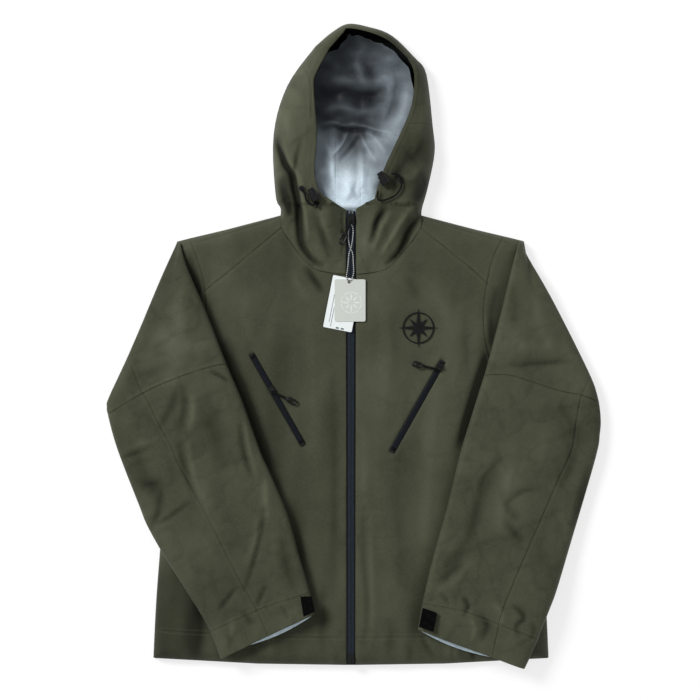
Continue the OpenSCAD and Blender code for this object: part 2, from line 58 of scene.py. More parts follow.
FRAME_SIDE = 1.12  # metres of floor across the square picture
CAMERA_HEIGHT = 4.0
cam_data = bpy.data.cameras.new("camera")
cam_data.sensor_width = 36
cam_data.lens = 36 * CAMERA_HEIGHT / FRAME_SIDE
cam_data.clip_start, cam_data.clip_end = 0.05, 60
camera = bpy.data.objects.new("camera", cam_data)
camera.location = (-0.0016, -0.0072, CAMERA_HEIGHT)
COLLECTION.objects.link(camera)
SCENE.camera = camera


# ---- curves and distances ---------------------------------------------------

def catmull(points, n=6):
    """A smooth curve through the points, n steps from each to the next."""
    p = np.array(points, float)
    m = len(p)
    out = []
    for i in range(m - 1):
        a, b, c, d = p[max(i - 1, 0)], p[i], p[i + 1], p[min(i + 2, m - 1)]
        for k in range(n):
            t = k / n
            out.append(0.5 * (2 * b + (c - a) * t + (2 * a - 5 * b + 4 * c - d) * t * t
                              + (3 * b - a - 3 * c + d) * t ** 3))
    out.append(p[-1])
    return np.array(out)


def resample(points, step, closed=False):
    """Points about step apart along the line, corners kept."""
    p = np.array(points, float)
    if closed:
        p = np.vstack([p, p[:1]])
    out = []
    for a, b in zip(p[:-1], p[1:]):
        n = max(1, int(round(np.linalg.norm(b - a) / step)))
        out += [a + (b - a) * k / n for k in range(n)]
    if not closed:
        out.append(p[-1])
    return np.array(out)


def near(x, y, line):
    """Distance to the line, signed distance (left is +), way along it, and its length."""
    p = np.stack([x, y], -1)
    line = np.array(line, float)
    best = np.full(len(p), 1e9)
    signed = np.zeros(len(p))
    along = np.zeros(len(p))
    run = 0.0
    for a, b in zip(line[:-1], line[1:]):
        ab = b - a
        length = math.hypot(*ab)
        if length < 1e-9:
            continue
        t = np.clip(((p - a) @ ab) / length ** 2, 0, 1)
        q = p - (a + t[:, None] * ab)
        d = np.hypot(q[:, 0], q[:, 1])
        side = np.sign(ab[0] * (p[:, 1] - a[1]) - ab[1] * (p[:, 0] - a[0]))
        closer = d < best
        best = np.where(closer, d, best)
        signed = np.where(closer, d * np.where(side == 0, 1, side), signed)
        along = np.where(closer, run + t * length, along)
        run += length
    return best, signed, along, run


def inside(x, y, ring):
    """True where the point is inside the closed ring."""
    result = np.zeros(len(x), bool)
    n = len(ring)
    for i in range(n):
        (x0, y0), (x1, y1) = ring[i], ring[(i + 1) % n]
        if y0 == y1:
            continue
        cross = ((y0 > y) != (y1 > y)) & (x < (x1 - x0) * (y - y0) / (y1 - y0) + x0)
        result ^= cross
    return result


def smooth01(t):
    t = np.clip(t, 0, 1)
    return t * t * (3 - 2 * t)


def roll(t):
    """A quarter round: 0 at the edge, 1 from t = 1 on."""
    t = np.clip(t, 0, 1)
    return np.sqrt(1 - (1 - t) ** 2)


def low_of(a, b, soft=3.0):
    """The lower of two heights, with a rounded corner."""
    h = np.clip(0.5 + 0.5 * (b - a) / soft, 0, 1)
    return b * (1 - h) + a * h - soft * h * (1 - h)


def lattice(ix, iy, seed):
    v = np.sin(ix * 127.1 + iy * 311.7 + seed * 74.7) * 43758.5453
    return v - np.floor(v)


def noise(x, y, seed=0):
    """Smooth value noise from -1 to 1, one cell per unit."""
    ix, iy = np.floor(x), np.floor(y)
    fx, fy = smooth01(x - ix), smooth01(y - iy)
    a, b = lattice(ix, iy, seed), lattice(ix + 1, iy, seed)
    c, d = lattice(ix, iy + 1, seed), lattice(ix + 1, iy + 1, seed)
    return 2 * ((a * (1 - fx) + b * fx) * (1 - fy) + (c * (1 - fx) + d * fx) * fy) - 1


def fold_height(x, y, rows):
    """Sum of the listed folds: (line, width, height) with a height above 0 for a ridge."""
    z = np.zeros(len(x))
    for line, width, height in rows:
        d, _, along, total = near(x, y, catmull(line, 5))
        end = np.sin(np.pi * np.clip(along / total, 0.0, 1)) ** 0.6
        z += height * (0.45 * np.exp(-(d / width) ** 2) + 0.55 * np.exp(-d / (0.6 * width))) * end
    return z


def fold_shade(x, y, rows, full):
    """Painted shade in the valleys and painted highlight on the ridges: 1 at the foot of a valley full mm
    deep.
    """
    tone = np.zeros(len(x))
    for line, width, height in rows:
        d, _, along, total = near(x, y, catmull(line, 5))
        end = np.sin(np.pi * np.clip(along / total, 0.0, 1)) ** 0.6
        tone -= height / full * np.exp(-(d / (0.95 * width)) ** 2) * end
    return np.clip(tone, -0.45, 1)


# ---- the jacket's lines, mm ---------------------------------------------------

def as_points(line):
    return [tuple(p) for p in line]


def flip(points):
    return [(-p[0],) + tuple(p[1:]) for p in points]


SIDE = [(316, -499), (311, -400), (299, -240), (292, -80), (286, 40), (285, 112), (276.5, 166.5)]
SIDE_LINE = catmull(SIDE, 5)
SHOULDER = [(276.5, 166.5), (259, 171), (200, 185), (112, 208)]
HEM = [(0, -510), (150, -508), (316, -499)]
NECK = [(111, 187), (86, 151), (60, 124), (35, 116), (7.6, 113)]
NECK_LINE = catmull(NECK, 5)
YOKE_LEFT = [(217, 98), (195, 119), (152, 154), (111, 187)]
YOKE_RIGHT = [(-231, 88), (-195, 117), (-152, 153), (-111, 187)]
ARMHOLE_LEFT = [(243, 175), (226, 140), (216, 98), (211, 62), (211, 30), (218, -12), (236, -60)]
ARMHOLE_RIGHT = [(-257, 171), (-239, 121), (-232, 86), (-231, 54), (-236, 20), (-250, -20)]
ZIP_HALF = 6.6  # half width of the strip between the two fronts

TORSO_TOP = 28.0
TORSO_FOLDS_RIGHT = [
    ([(-75, 127), (-60, 106), (-43, 84)], 6, -2.6),
    ([(-92, 118), (-78, 90), (-64, 66)], 9, 1.6),
    ([(-160, 90), (-170, 20), (-178, -60)], 16, 1.6),
    ([(-110, 40), (-116, -80), (-112, -240)], 15, -1.6),
    ([(-60, 60), (-58, -120), (-62, -330)], 17, 1.5),
    ([(-28, -40), (-24, -200), (-27, -420)], 8, -1.5),
    ([(-92, -250), (-84, -340), (-88, -450)], 14, -1.8),
    ([(-40, -380), (-46, -430), (-42, -490)], 7, -1.6),
    ([(-240, -400), (-236, -450), (-244, -496)], 9, -2.0),
    ([(-120, -420), (-130, -460), (-126, -500)], 9, 1.6),
]
TORSO_FOLDS_LEFT = [
    ([(40, 90), (56, 20), (52, -120)], 15, 1.5),
    ([(23, -230), (21, -330), (26, -420), (20, -480)], 5, -2.4),
    ([(33, -250), (33, -340), (36, -430), (32, -480)], 6, 1.6),
    ([(82, -120), (78, -260), (86, -400)], 16, -1.6),
    ([(140, -60), (128, -200), (120, -330)], 16, 1.7),
    ([(120, 100), (150, 60), (170, 10)], 15, 1.5),
    ([(88, 110), (104, 84), (112, 66)], 9, -1.5),
    ([(180, 60), (186, 0), (188, -60)], 11, -1.7),
    ([(113, -456), (120, -478), (134, -500)], 4, -2.6),
    ([(150, -452), (156, -474), (152, -500)], 6, 2.0),
    ([(195, -472), (193, -486), (196, -505)], 3, -3.2),
    ([(172, -474), (168, -488), (172, -505)], 5, 1.8),
    ([(90, -474), (96, -488), (92, -505)], 5, -1.4),
    ([(62, -430), (66, -466), (60, -500)], 10, -1.6),
]


def calm(x, y):
    """1 over open cloth, 0 where a flat piece lies on it: the emblem, the tags, the zips."""
    keep = np.ones(len(x))
    keep *= smooth01((np.hypot(x - 107, y - 28) - 31) / 18)
    box = np.maximum(np.abs(x + 4) - 30, np.abs(y - 68) - 42)
    keep *= 0.15 + 0.85 * smooth01(box / 16)
    for (x0, y0), (x1, y1) in POCKET_LINES:
        d = near(x, y, [(x0, y0), (x1, y1)])[0]
        keep *= smooth01((d - 7) / 14)
    return keep


def along_turn(start, turn, length):
    a = math.radians(turn)
    return (start, (start[0] + length * math.cos(a), start[1] + length * math.sin(a)))


POCKET_ROW = 5.2  # finer rows run this far from the middle of a pocket zip, mm


def pocket_rows(side):
    """The two long edges of a pocket opening, for a finer mesh there."""
    (x0, y0), (x1, y1) = POCKET_LINES[0 if side == "right" else 1]
    a = math.radians(POCKET_TURN[side])
    dx, dy = -math.sin(a) * POCKET_ROW, math.cos(a) * POCKET_ROW
    return [[(x0 + s * dx, y0 + s * dy), (x1 + s * dx, y1 + s * dy)] for s in (-1, 1)]


POCKET_LENGTH = 165
POCKET_TURN = {"right": -60.3, "left": -119.4}
POCKET_START = {"right": (-158, -14), "left": (146, -25)}
POCKET_LINES = [along_turn(POCKET_START[s], POCKET_TURN[s], POCKET_LENGTH) for s in ("right", "left")]


def torso_base(x, y):
    """The front layer without folds: flat in the middle, rolled to the floor at the edges."""
    ax = np.abs(x)
    z = np.full(len(x), TORSO_TOP)
    side = near(ax, y, SIDE_LINE)[0]
    hem = near(ax, y, HEM)[0]
    top = near(ax, y, SHOULDER)[0]
    z = low_of(z, 2.2 + (TORSO_TOP - 2.2) * roll(side / 34))
    z = low_of(z, 8.0 + (TORSO_TOP - 8.0) * roll(hem / 26))
    z = low_of(z, 5.0 + (TORSO_TOP - 5.0) * roll(top / 26))
    return z


def zip_lip(x):
    """Height of the cloth where it turns down beside the main zip."""
    return TORSO_TOP - 4.4 * (1 - roll((np.abs(x) - ZIP_HALF) / 7.0))


def torso_height(x, y):
    z = torso_base(x, y)
    drape = 1.3 * noise(x / 46 + 0.5 * noise(y / 150, x / 90, 4), y / 260, 11)
    drape += 0.8 * noise(x / 22, y / 150, 12) + 0.4 * noise(x / 12, y / 60, 15)
    drape += 0.3 * noise(x / 14, y / 14, 19)
    drape += 1.5 * (fold_height(x, y, TORSO_FOLDS_RIGHT) + fold_height(x, y, TORSO_FOLDS_LEFT))
    drape = np.minimum(drape, 2.6)
    hem = near(np.abs(x), y, HEM)[0]
    drape += 1.6 * noise(x / 21, y / 60, 23) * np.exp(-hem / 26)
    z += drape * calm(x, y) * smooth01((z - 4) / 18)
    for start, end in POCKET_LINES:
        d = near(x, y, [start, end])[0]
        slot = roll((d - 4.6) / 2.6)
        z = np.where(d < 12, z - 2.6 * (1 - slot), z)
    return np.where(np.abs(x) < ZIP_HALF + 8, low_of(z, zip_lip(x), 0.8), z)


# ---- cloth meshes -------------------------------------------------------------

EDGE_ROWS = (1.1, 2.8)  # rows of vertices inside each edge, mm from it


def triangulate(ring, rows=(), step=4.2):
    """Vertices (x, y) and triangles filling the ring; rows are seam lines with finer mesh."""
    ring = np.array(ring, float)
    border = resample(ring, step * 0.8, closed=True)
    n = len(border)
    closed = np.vstack([border, border[:1]])
    clouds = []
    tangent = np.roll(border, -1, 0) - np.roll(border, 1, 0)
    tangent /= np.maximum(np.linalg.norm(tangent, axis=1), 1e-9)[:, None]
    normal = np.stack([-tangent[:, 1], tangent[:, 0]], -1)
    area = np.sum(border[:, 0] * np.roll(border[:, 1], -1) - np.roll(border[:, 0], -1) * border[:, 1])
    if area < 0:
        normal = -normal
    for off in EDGE_ROWS:
        moved = border + normal * off
        d = near(moved[:, 0], moved[:, 1], closed)[0]
        clouds.append(moved[d > off * 0.93])
    keep_off = []
    for row in rows:
        line = resample(catmull(row, 5), 3.0)
        t = np.gradient(line, axis=0)
        t /= np.maximum(np.linalg.norm(t, axis=1), 1e-9)[:, None]
        side = np.stack([-t[:, 1], t[:, 0]], -1)
        for off in (-1.5, 0.0, 1.5):
            clouds.append(line + side * off)
        keep_off.append(line)
    low, high = border.min(0), border.max(0)
    gx, gy = np.meshgrid(np.arange(low[0], high[0], step), np.arange(low[1], high[1], step * 0.866))
    gx = gx + (np.arange(gx.shape[0]) % 2)[:, None] * step / 2
    grid = np.stack([gx.ravel(), gy.ravel()], -1)
    grid += 0.22 * step * np.stack([noise(grid[:, 0] * 0.9, grid[:, 1] * 0.9, 5),
                                    noise(grid[:, 0] * 0.9, grid[:, 1] * 0.9, 6)], -1)
    for line in keep_off:
        grid = grid[near(grid[:, 0], grid[:, 1], line)[0] > 3.0]
    d = near(grid[:, 0], grid[:, 1], closed)[0]
    grid = grid[d > EDGE_ROWS[-1] + step * 0.45]
    clouds.append(grid)
    cloud = np.vstack(clouds)
    ok = inside(cloud[:, 0], cloud[:, 1], border)
    d = near(cloud[:, 0], cloud[:, 1], closed)[0]
    cloud = cloud[ok & (d > 0.8)]
    points = [Vector(p) for p in border] + [Vector(p) for p in cloud]
    edges = [(i, (i + 1) % n) for i in range(n)]
    verts, _, faces, *_ = delaunay_2d_cdt(points, edges, [list(range(n))], 1, 1e-4)
    xy = np.array([(v.x, v.y) for v in verts])
    tri = np.array([f for f in faces if len(f) == 3], int)
    a, b, c = xy[tri[:, 0]], xy[tri[:, 1]], xy[tri[:, 2]]
    cross = (b[:, 0] - a[:, 0]) * (c[:, 1] - a[:, 1]) - (b[:, 1] - a[:, 1]) * (c[:, 0] - a[:, 0])
    tri[cross < 0] = tri[cross < 0][:, ::-1]
    tri = tri[np.abs(cross) > 1e-3]
    used = np.unique(tri)
    remap = -np.ones(len(xy), int)
    remap[used] = np.arange(len(used))
    return xy[used], remap[tri]


FAR = 900.0
SEAM_COUNT = 5


def write_attributes(mesh, xy, seams, tone, strong=()):
    """Each vertex keeps its distance to, way along and the strength of each seam, and a tone."""
    for k in range(SEAM_COUNT):
        values = np.full((len(xy), 3), FAR)
        if k < len(seams):
            _, signed, along, _ = near(xy[:, 0], xy[:, 1], catmull(seams[k], 5))
            values[:, 0], values[:, 1] = signed, along
            values[:, 2] = strong[k] if k < len(strong) else 0.5
        layer = mesh.attributes.new(f"seam{k + 1}", "FLOAT_VECTOR", "POINT")
        layer.data.foreach_set("vector", values.astype(np.float32).ravel())
    layer = mesh.attributes.new("tone", "FLOAT", "POINT")
    layer.data.foreach_set("value", np.asarray(tone, np.float32))


def to_object(name, co, tri, materials, thick=0.8, inner=0, smooth=True):
    mesh = bpy.data.meshes.new(name)
    mesh.from_pydata((np.asarray(co) * MM).tolist(), [], [tuple(int(i) for i in f) for f in tri])
    mesh.polygons.foreach_set("use_smooth", [smooth] * len(mesh.polygons))
    mesh.update()
    obj = bpy.data.objects.new(name, mesh)
    for m in materials:
        mesh.materials.append(m)
    COLLECTION.objects.link(obj)
    if thick:
        solid = obj.modifiers.new("thickness", "SOLIDIFY")
        solid.thickness = thick * MM
        solid.offset = -1
        solid.material_offset = inner
        solid.material_offset_rim = 0
        solid.use_even_offset = False
    return obj


def declare_sheet(co, faces, width, length):
    p = np.asarray(co) * MM
    f = np.asarray(faces)
    normals = np.cross(p[f[:, 1]] - p[f[:, 0]], p[f[:, 2]] - p[f[:, 0]])
    area = float(np.sum(np.linalg.norm(normals, axis=1)) / 2)
    width, length = width * MM, length * MM
    length = max(length, area / width * 1.002)


SEAM_DEPTH = 0.55


def seam_groove(x, y, seams):
    z = np.zeros(len(x))
    for s in seams:
        d = near(x, y, catmull(s, 5))[0]
        z -= SEAM_DEPTH * np.exp(-d ** 2)
        z += 0.35 * SEAM_DEPTH * np.exp(-((d - 3.2) / 2.0) ** 2)
    return z


def panel(name, ring, height, materials, seams=(), tone=None, step=4.2, inner=0, paint=(),
          rows=(), strong=()):
    """One sheet of cloth over the ring, at height(x, y)."""
    xy, tri = triangulate(ring, list(seams) + list(rows), step)
    x, y = xy[:, 0], xy[:, 1]
    z = height(x, y) + seam_groove(x, y, seams)
    co = np.stack([x, y, z], -1)
    obj = to_object(name, co, tri, materials, inner=inner)
    declare_sheet(co, tri, np.ptp(x), np.ptp(y))
    write_attributes(obj.data, xy, list(seams) + list(paint), tone(x, y) if tone else np.zeros(len(x)),
                     strong)
    return obj


SLEEVE_CLOTH = 0.7  # thickness, mm


def pillow(name, ring, top, bottom, materials, seams, mouths, tone, slide=None, paint=(),
           strong=()):
    """A flattened tube: a top and a bottom sheet, joined at the ring except along the mouths."""
    xy, tri = triangulate(ring, seams)
    n = len(xy)
    x, y = xy[:, 0], xy[:, 1]
    edges = {}
    for f in tri:
        for a, b in ((f[0], f[1]), (f[1], f[2]), (f[2], f[0])):
            key = (min(a, b), max(a, b))
            edges[key] = edges.get(key, 0) + 1
    border = [e for e, count in edges.items() if count == 1]
    is_mouth = np.zeros(n, bool)
    for m in mouths:
        d = near(x, y, m)[0]
        is_mouth |= d < 0.4
    closed_vertex = np.zeros(n, bool)
    for a, b in border:
        if not (is_mouth[a] and is_mouth[b]):
            closed_vertex[a] = closed_vertex[b] = True
    lower = np.arange(n) + n
    lower[closed_vertex] = np.nonzero(closed_vertex)[0]
    z_top = top(x, y) + seam_groove(x, y, seams)
    z_low = bottom(x, y)
    z_top = np.where(closed_vertex, (z_top + z_low) / 2, np.maximum(z_top, z_low + 1.8))
    xy_low = xy.copy()
    if slide is not None:
        xy_low = slide(xy)
    co = np.vstack([np.column_stack([xy, z_top]), np.column_stack([xy_low, z_low])])
    faces = np.vstack([tri, lower[tri][:, ::-1]])
    used = np.unique(faces)
    remap = -np.ones(2 * n, int)
    remap[used] = np.arange(len(used))
    obj = to_object(name, co[used], remap[faces], materials, SLEEVE_CLOTH, inner=1)
    declare_sheet(co, faces, 2 * np.ptp(x), np.ptp(y))
    both = np.vstack([xy, xy_low])[used]
    write_attributes(obj.data, both, list(seams) + list(paint), tone(both[:, 0], both[:, 1]), strong)
    return obj


def strip(name, line, half, height, materials, columns=7, crown=0.0, thick=0.0):
    """A ribbon along a line, columns wide, with its own lengthwise attribute."""
    line = resample(np.array(line, float), 3.0)
    t = np.gradient(line, axis=0)
    t /= np.maximum(np.linalg.norm(t, axis=1), 1e-9)[:, None]
    side = np.stack([-t[:, 1], t[:, 0]], -1)
    run = np.concatenate([[0], np.cumsum(np.linalg.norm(np.diff(line, axis=0), axis=1))])
    across = np.linspace(-1, 1, columns)
    co, uv = [], []
    for i, p in enumerate(line):
        for a in across:
            q = p + side[i] * a * half
            z = height(np.array([q[0]]), np.array([q[1]]))[0] + crown * (1 - a ** 4)
            co.append((q[0], q[1], z))
            uv.append((a * half, run[i], 0))
    faces = []
    for i in range(len(line) - 1):
        for k in range(columns - 1):
            a = i * columns + k
            faces.append((a + 1, a, a + columns, a + columns + 1))
    obj = to_object(name, co, faces, materials, thick)
    layer = obj.data.attributes.new("ribbon", "FLOAT_VECTOR", "POINT")
    layer.data.foreach_set("vector", np.array(uv, np.float32).ravel())
    return obj


# ---- materials ----------------------------------------------------------------

def srgb(r, g, b):
    """Linear colour from 0 to 255 display values."""
    def one(v):
        v = v / 255
        return v / 12.92 if v <= 0.04045 else ((v + 0.055) / 1.055) ** 2.4
    return (one(r), one(g), one(b), 1.0)


def scaled(colour, share):
    return tuple(c * share for c in colour[:3]) + (1,)


class Nodes:
    """Short names for building one material's node tree."""

    def __init__(self, name, roughness=0.6, **sockets):
        self.material = bpy.data.materials.new(name)
        self.material.use_nodes = True
        self.tree = self.material.node_tree
        self.bsdf = self.tree.nodes["Principled BSDF"]
        self.bsdf.inputs["Roughness"].default_value = roughness
        for key, value in sockets.items():
            self.bsdf.inputs[key.replace("_", " ")].default_value = value

    def node(self, kind, **inputs):
        n = self.tree.nodes.new(kind)
        for key, value in inputs.items():
            socket = n.inputs[int(key[1:])] if key[0] == "i" and key[1:].isdigit() else n.inputs[key]
            self.plug(value, socket)
        return n

    def math(self, kind, a, b=0.0, clamp=False):
        n = self.tree.nodes.new("ShaderNodeMath")
        n.operation = kind
        n.use_clamp = clamp
        for i, value in enumerate((a, b)):
            self.plug(value, n.inputs[i])
        return n.outputs[0]

    def mix(self, factor, a, b):
        n = self.tree.nodes.new("ShaderNodeMix")
        n.data_type = "RGBA"
        n.clamp_factor = True
        for socket, value in ((n.inputs[0], factor), (n.inputs[6], a), (n.inputs[7], b)):
            self.plug(value, socket)
        return n.outputs[2]

    def spread(self, value, low, high, out_low=0.0, out_high=1.0):
        n = self.tree.nodes.new("ShaderNodeMapRange")
        n.interpolation_type = "SMOOTHSTEP"
        self.tree.links.new(value, n.inputs[0])
        for i, v in enumerate((low, high, out_low, out_high)):
            n.inputs[i + 1].default_value = v
        return n.outputs[0]

    def object_coords(self):
        return self.tree.nodes.new("ShaderNodeTexCoord").outputs["Object"]

    def attribute(self, name):
        n = self.tree.nodes.new("ShaderNodeAttribute")
        n.attribute_name = name
        return n

    def noise(self, vector, scale, detail=3.0, rough=0.5):
        n = self.tree.nodes.new("ShaderNodeTexNoise")
        self.tree.links.new(vector, n.inputs["Vector"])
        n.inputs["Scale"].default_value = scale
        n.inputs["Detail"].default_value = detail
        n.inputs["Roughness"].default_value = rough
        return n.outputs["Fac"]

    def colour(self, value):
        self.plug(value, self.bsdf.inputs["Base Color"])

    def plug(self, value, socket):
        if isinstance(value, bpy.types.NodeSocket):
            self.tree.links.new(value, socket)
        else:
            socket.default_value = value

    def bump(self, height, strength=0.3, distance=0.001):
        n = self.tree.nodes.new("ShaderNodeBump")
        n.inputs["Strength"].default_value = strength
        n.inputs["Distance"].default_value = distance
        self.tree.links.new(height, n.inputs["Height"])
        self.tree.links.new(n.outputs[0], self.bsdf.inputs["Normal"])
        return n

    def sine(self, value, period):
        """0 to 1 waves of that period along value."""
        w = self.math("MULTIPLY", value, 2 * math.pi / period)
        return self.math("ADD", self.math("MULTIPLY", self.math("SINE", w), 0.5), 0.5)


def weave(n, vector, pitch):
    """Height of a plain weave with that pitch in metres, in the X-Y plane."""
    split = n.node("ShaderNodeSeparateXYZ", i0=vector)
    wx = n.sine(split.outputs[0], pitch)
    wy = n.sine(split.outputs[1], pitch)
    return n.math("MAXIMUM", n.math("MULTIPLY", wx, wy),
                  n.math("MULTIPLY", n.math("SUBTRACT", 1.0, wx), n.math("SUBTRACT", 1.0, wy)))


def cloth_material(name, light, dark, seam_and_crease_colour, thread, roughness=0.72, pitch=0.0011,
                   sheen=0.06, weave_depth=0.16, painted_shade_colour=None, stitched=True, crumple=0.5,
                   crumple_scale=20.0):
    """Woven shell cloth: mottled colour, weave, fine crumples with painted shade in their creases, seams
    with dashes of thread, and painted shade and painted highlight from the tone attribute.
    """
    n = Nodes(name, roughness, Sheen_Weight=sheen, Sheen_Roughness=0.5)
    n.bsdf.inputs["Specular IOR Level"].default_value = 0.12
    at = n.object_coords()
    wide = n.noise(at, 9.0, 3.0, 0.55)
    fine = n.noise(at, 260.0, 4.0, 0.7)
    base = n.mix(n.spread(wide, 0.30, 0.70), dark, light)
    base = n.mix(n.math("MULTIPLY", n.spread(fine, 0.35, 0.7), 0.16), base,
                 scaled(light, 1.7))
    web = n.math("ABSOLUTE", n.math("SUBTRACT", n.noise(at, crumple_scale, 2.5, 0.5), 0.5))
    crease = n.spread(web, 0.0, 0.05, 1.0, 0.0)
    where = n.spread(n.noise(at, 7.0, 2.0, 0.5), 0.42, 0.62)
    crease = n.math("MULTIPLY", crease, where)
    # painted shade in the crumple creases, in the seam colour
    if stitched:
        base = n.mix(n.math("MULTIPLY", crease, 0.22 * crumple), base, seam_and_crease_colour)
    cloth = weave(n, at, pitch)
    base = n.mix(n.math("MULTIPLY", cloth, 0.10), base, (0.0, 0.0, 0.0, 1))
    # the tone attribute: painted shade toward the dark colour, painted highlight toward the pale one, with
    # some random mottle
    tone = n.attribute("tone").outputs["Fac"]
    if painted_shade_colour:
        base = n.mix(tone, base, painted_shade_colour)
        painted_highlight = n.math("MULTIPLY", tone, -1.0, clamp=True)
        base = n.mix(painted_highlight, base, scaled(light, 1.6))
    height = n.math("MULTIPLY", cloth, weave_depth)
    height = n.math("ADD", height, n.math("MULTIPLY", n.noise(at, 60.0, 4.0, 0.6), 0.9))
    height = n.math("SUBTRACT", height, n.math("MULTIPLY", crease, crumple))
    for k in range(SEAM_COUNT):
        a = n.attribute(f"seam{k + 1}").outputs["Vector"]
        split = n.node("ShaderNodeSeparateXYZ", i0=a)
        d = n.math("ABSOLUTE", split.outputs[0])
        strength = n.math("MINIMUM", split.outputs[2], 1.0)
        uneven = n.spread(n.noise(at, 38.0, 2.0, 0.5), 0.3, 0.65, 0.45, 1.0)
        strength = n.math("MULTIPLY", strength, uneven)
        groove = n.math("MULTIPLY", n.spread(d, 0.1, 0.85, 1.0, 0.0), strength)
        dash = n.spread(n.sine(split.outputs[1], 3.2), 0.25, 0.5)
        row = n.spread(n.math("ABSOLUTE", n.math("SUBTRACT", d, 2.6)), 0.15, 0.55, 1.0, 0.0)
        stitch = n.math("MULTIPLY", dash, row)
        base = n.mix(n.math("MULTIPLY", groove, 0.95 if stitched else 0.7), base, seam_and_crease_colour)
        height = n.math("SUBTRACT", height, n.math("MULTIPLY", groove, 0.9))
        if stitched:
            # a paler band beside each stitched seam
            pale_band = n.spread(n.math("ABSOLUTE", n.math("SUBTRACT", d, 3.4)), 0.2, 2.2, 0.12, 0.0)
            base = n.mix(pale_band, base, scaled(light, 1.5))
            base = n.mix(n.math("MULTIPLY", stitch, 0.45), base, thread)
            height = n.math("ADD", height, n.math("MULTIPLY", stitch, 0.5))
    n.colour(base)
    n.bump(height, 0.4, 0.0007)
    return n.material


OLIVE = srgb(80, 83, 66)
OLIVE_DARK = srgb(66, 69, 53)
# the last colour given to the shell and the lining is their painted shade in folds and shaded places
SHELL = cloth_material("shell", OLIVE, OLIVE_DARK, srgb(22, 23, 15), srgb(50, 52, 38),
                       painted_shade_colour=srgb(27, 28, 18))
LINING = cloth_material("lining", srgb(226, 241, 250), srgb(206, 223, 234), srgb(66, 74, 82),
                        srgb(120, 130, 138), roughness=0.5, pitch=0.0008, sheen=0.05,
                        weave_depth=0.1, painted_shade_colour=srgb(19, 22, 27), stitched=False, crumple=1.5,
                        crumple_scale=26.0)
# near-black cloth: painted shade on the hood's back, where it shows between the lining and the brim, and
# the brim's dark underside
DARK_FACING_AND_SHADE = cloth_material("facing", srgb(22, 24, 26), srgb(14, 15, 17), srgb(5, 5, 6),
                            srgb(30, 32, 34), roughness=0.8)


def film_material(name, colour, edge, rim, length=0.0):
    """A laminated zip film: a split down the middle, pressed coil ridges, stitched edges."""
    n = Nodes(name, 0.5)
    n.bsdf.inputs["Specular IOR Level"].default_value = 0.1
    a = n.attribute("ribbon").outputs["Vector"]
    split = n.node("ShaderNodeSeparateXYZ", i0=a)
    d = n.math("ABSOLUTE", split.outputs[0])
    ridges = n.sine(split.outputs[1], 1.6)
    coil = n.math("MULTIPLY", ridges, n.spread(d, 0.8, 3.2, 1.0, 0.0))
    groove = n.spread(d, 0.05, 0.5, 1.0, 0.0)
    at = n.object_coords()
    grain = n.noise(at, 400.0, 3.0, 0.6)
    base = n.mix(n.spread(grain, 0.3, 0.7), colour,
                 scaled(colour, 1.5))
    base = n.mix(n.spread(d, rim - 0.8, rim), base, edge)
    if length:
        base = n.mix(n.spread(split.outputs[1], 7.4, 8.0, 1.0, 0.0), base, srgb(3, 3, 4))
        base = n.mix(n.spread(split.outputs[1], length - 8.0, length - 7.4), base, srgb(3, 3, 4))
    base = n.mix(groove, base, (0.002, 0.002, 0.003, 1))
    row = n.spread(n.math("ABSOLUTE", n.math("SUBTRACT", d, rim + 0.4)), 0.1, 0.5, 1.0, 0.0)
    dash = n.spread(n.sine(split.outputs[1], 3.0), 0.3, 0.5)
    base = n.mix(n.math("MULTIPLY", n.math("MULTIPLY", row, dash), 0.5), base, srgb(62, 66, 72))
    n.colour(base)
    height = n.math("SUBTRACT", n.math("MULTIPLY", coil, 0.5), groove)
    height = n.math("ADD", height, n.math("MULTIPLY", grain, 0.15))
    n.bump(height, 0.5, 0.0006)
    return n.material


MAIN_FILM = film_material("zip_film", srgb(31, 37, 45), srgb(7, 8, 9), 5.4)
POCKET_FILM = film_material("pocket_film", srgb(15, 19, 25), srgb(5, 6, 7), 3.8, POCKET_LENGTH)


def plastic_material(name, colour, roughness=0.42, grain_scale=900.0, level=0.3):
    """Moulded plastic or rubber: fine spark texture, slightly paler in wide random patches of wear."""
    n = Nodes(name, roughness)
    n.bsdf.inputs["Specular IOR Level"].default_value = level
    at = n.object_coords()
    grain = n.noise(at, grain_scale, 3.0, 0.6)
    wide = n.noise(at, 120.0, 2.0, 0.5)
    worn = tuple(min(1, c * 2.2 + 0.003) for c in colour[:3]) + (1,)
    base = n.mix(n.math("MULTIPLY", n.spread(wide, 0.45, 0.75), 0.5), colour, worn)
    n.colour(base)
    n.plug(n.spread(grain, 0.2, 0.8, roughness - 0.08, roughness + 0.1), n.bsdf.inputs["Roughness"])
    n.bump(grain, 0.12, 0.0004)
    return n.material


def metal_material(name, colour):
    """Bare metal with a fine grain."""
    roughness = 0.32
    n = Nodes(name, roughness, Metallic=1.0)
    grain = n.noise(n.object_coords(), 700.0, 4.0, 0.65)
    base = n.mix(n.spread(grain, 0.3, 0.75), colour,
                 scaled(colour, 0.6))
    n.colour(base)
    n.plug(n.spread(grain, 0.2, 0.8, roughness - 0.1, roughness + 0.15), n.bsdf.inputs["Roughness"])
    n.bump(grain, 0.1, 0.0003)
    return n.material


def braid_material(name, colour, pale, pitch=1.8, cover=0.45, twist=1.0):
    """A braided cord: two sets of plaits round the tube, the pale ones standing out."""
    n = Nodes(name, 0.75)
    n.bsdf.inputs["Specular IOR Level"].default_value = 0.15
    split = n.node("ShaderNodeSeparateXYZ", i0=n.attribute("ribbon").outputs["Vector"])
    a = n.sine(n.math("ADD", n.math("MULTIPLY", split.outputs[0], twist), split.outputs[1]), pitch)
    b = n.sine(n.math("SUBTRACT", split.outputs[0], split.outputs[1]), pitch)
    plait = n.math("MULTIPLY", a, b)
    n.colour(n.mix(n.spread(a, 1 - cover, min(1.0, 1.2 - cover)), colour, pale))
    n.bump(plait, 0.6, 0.0006)
    return n.material


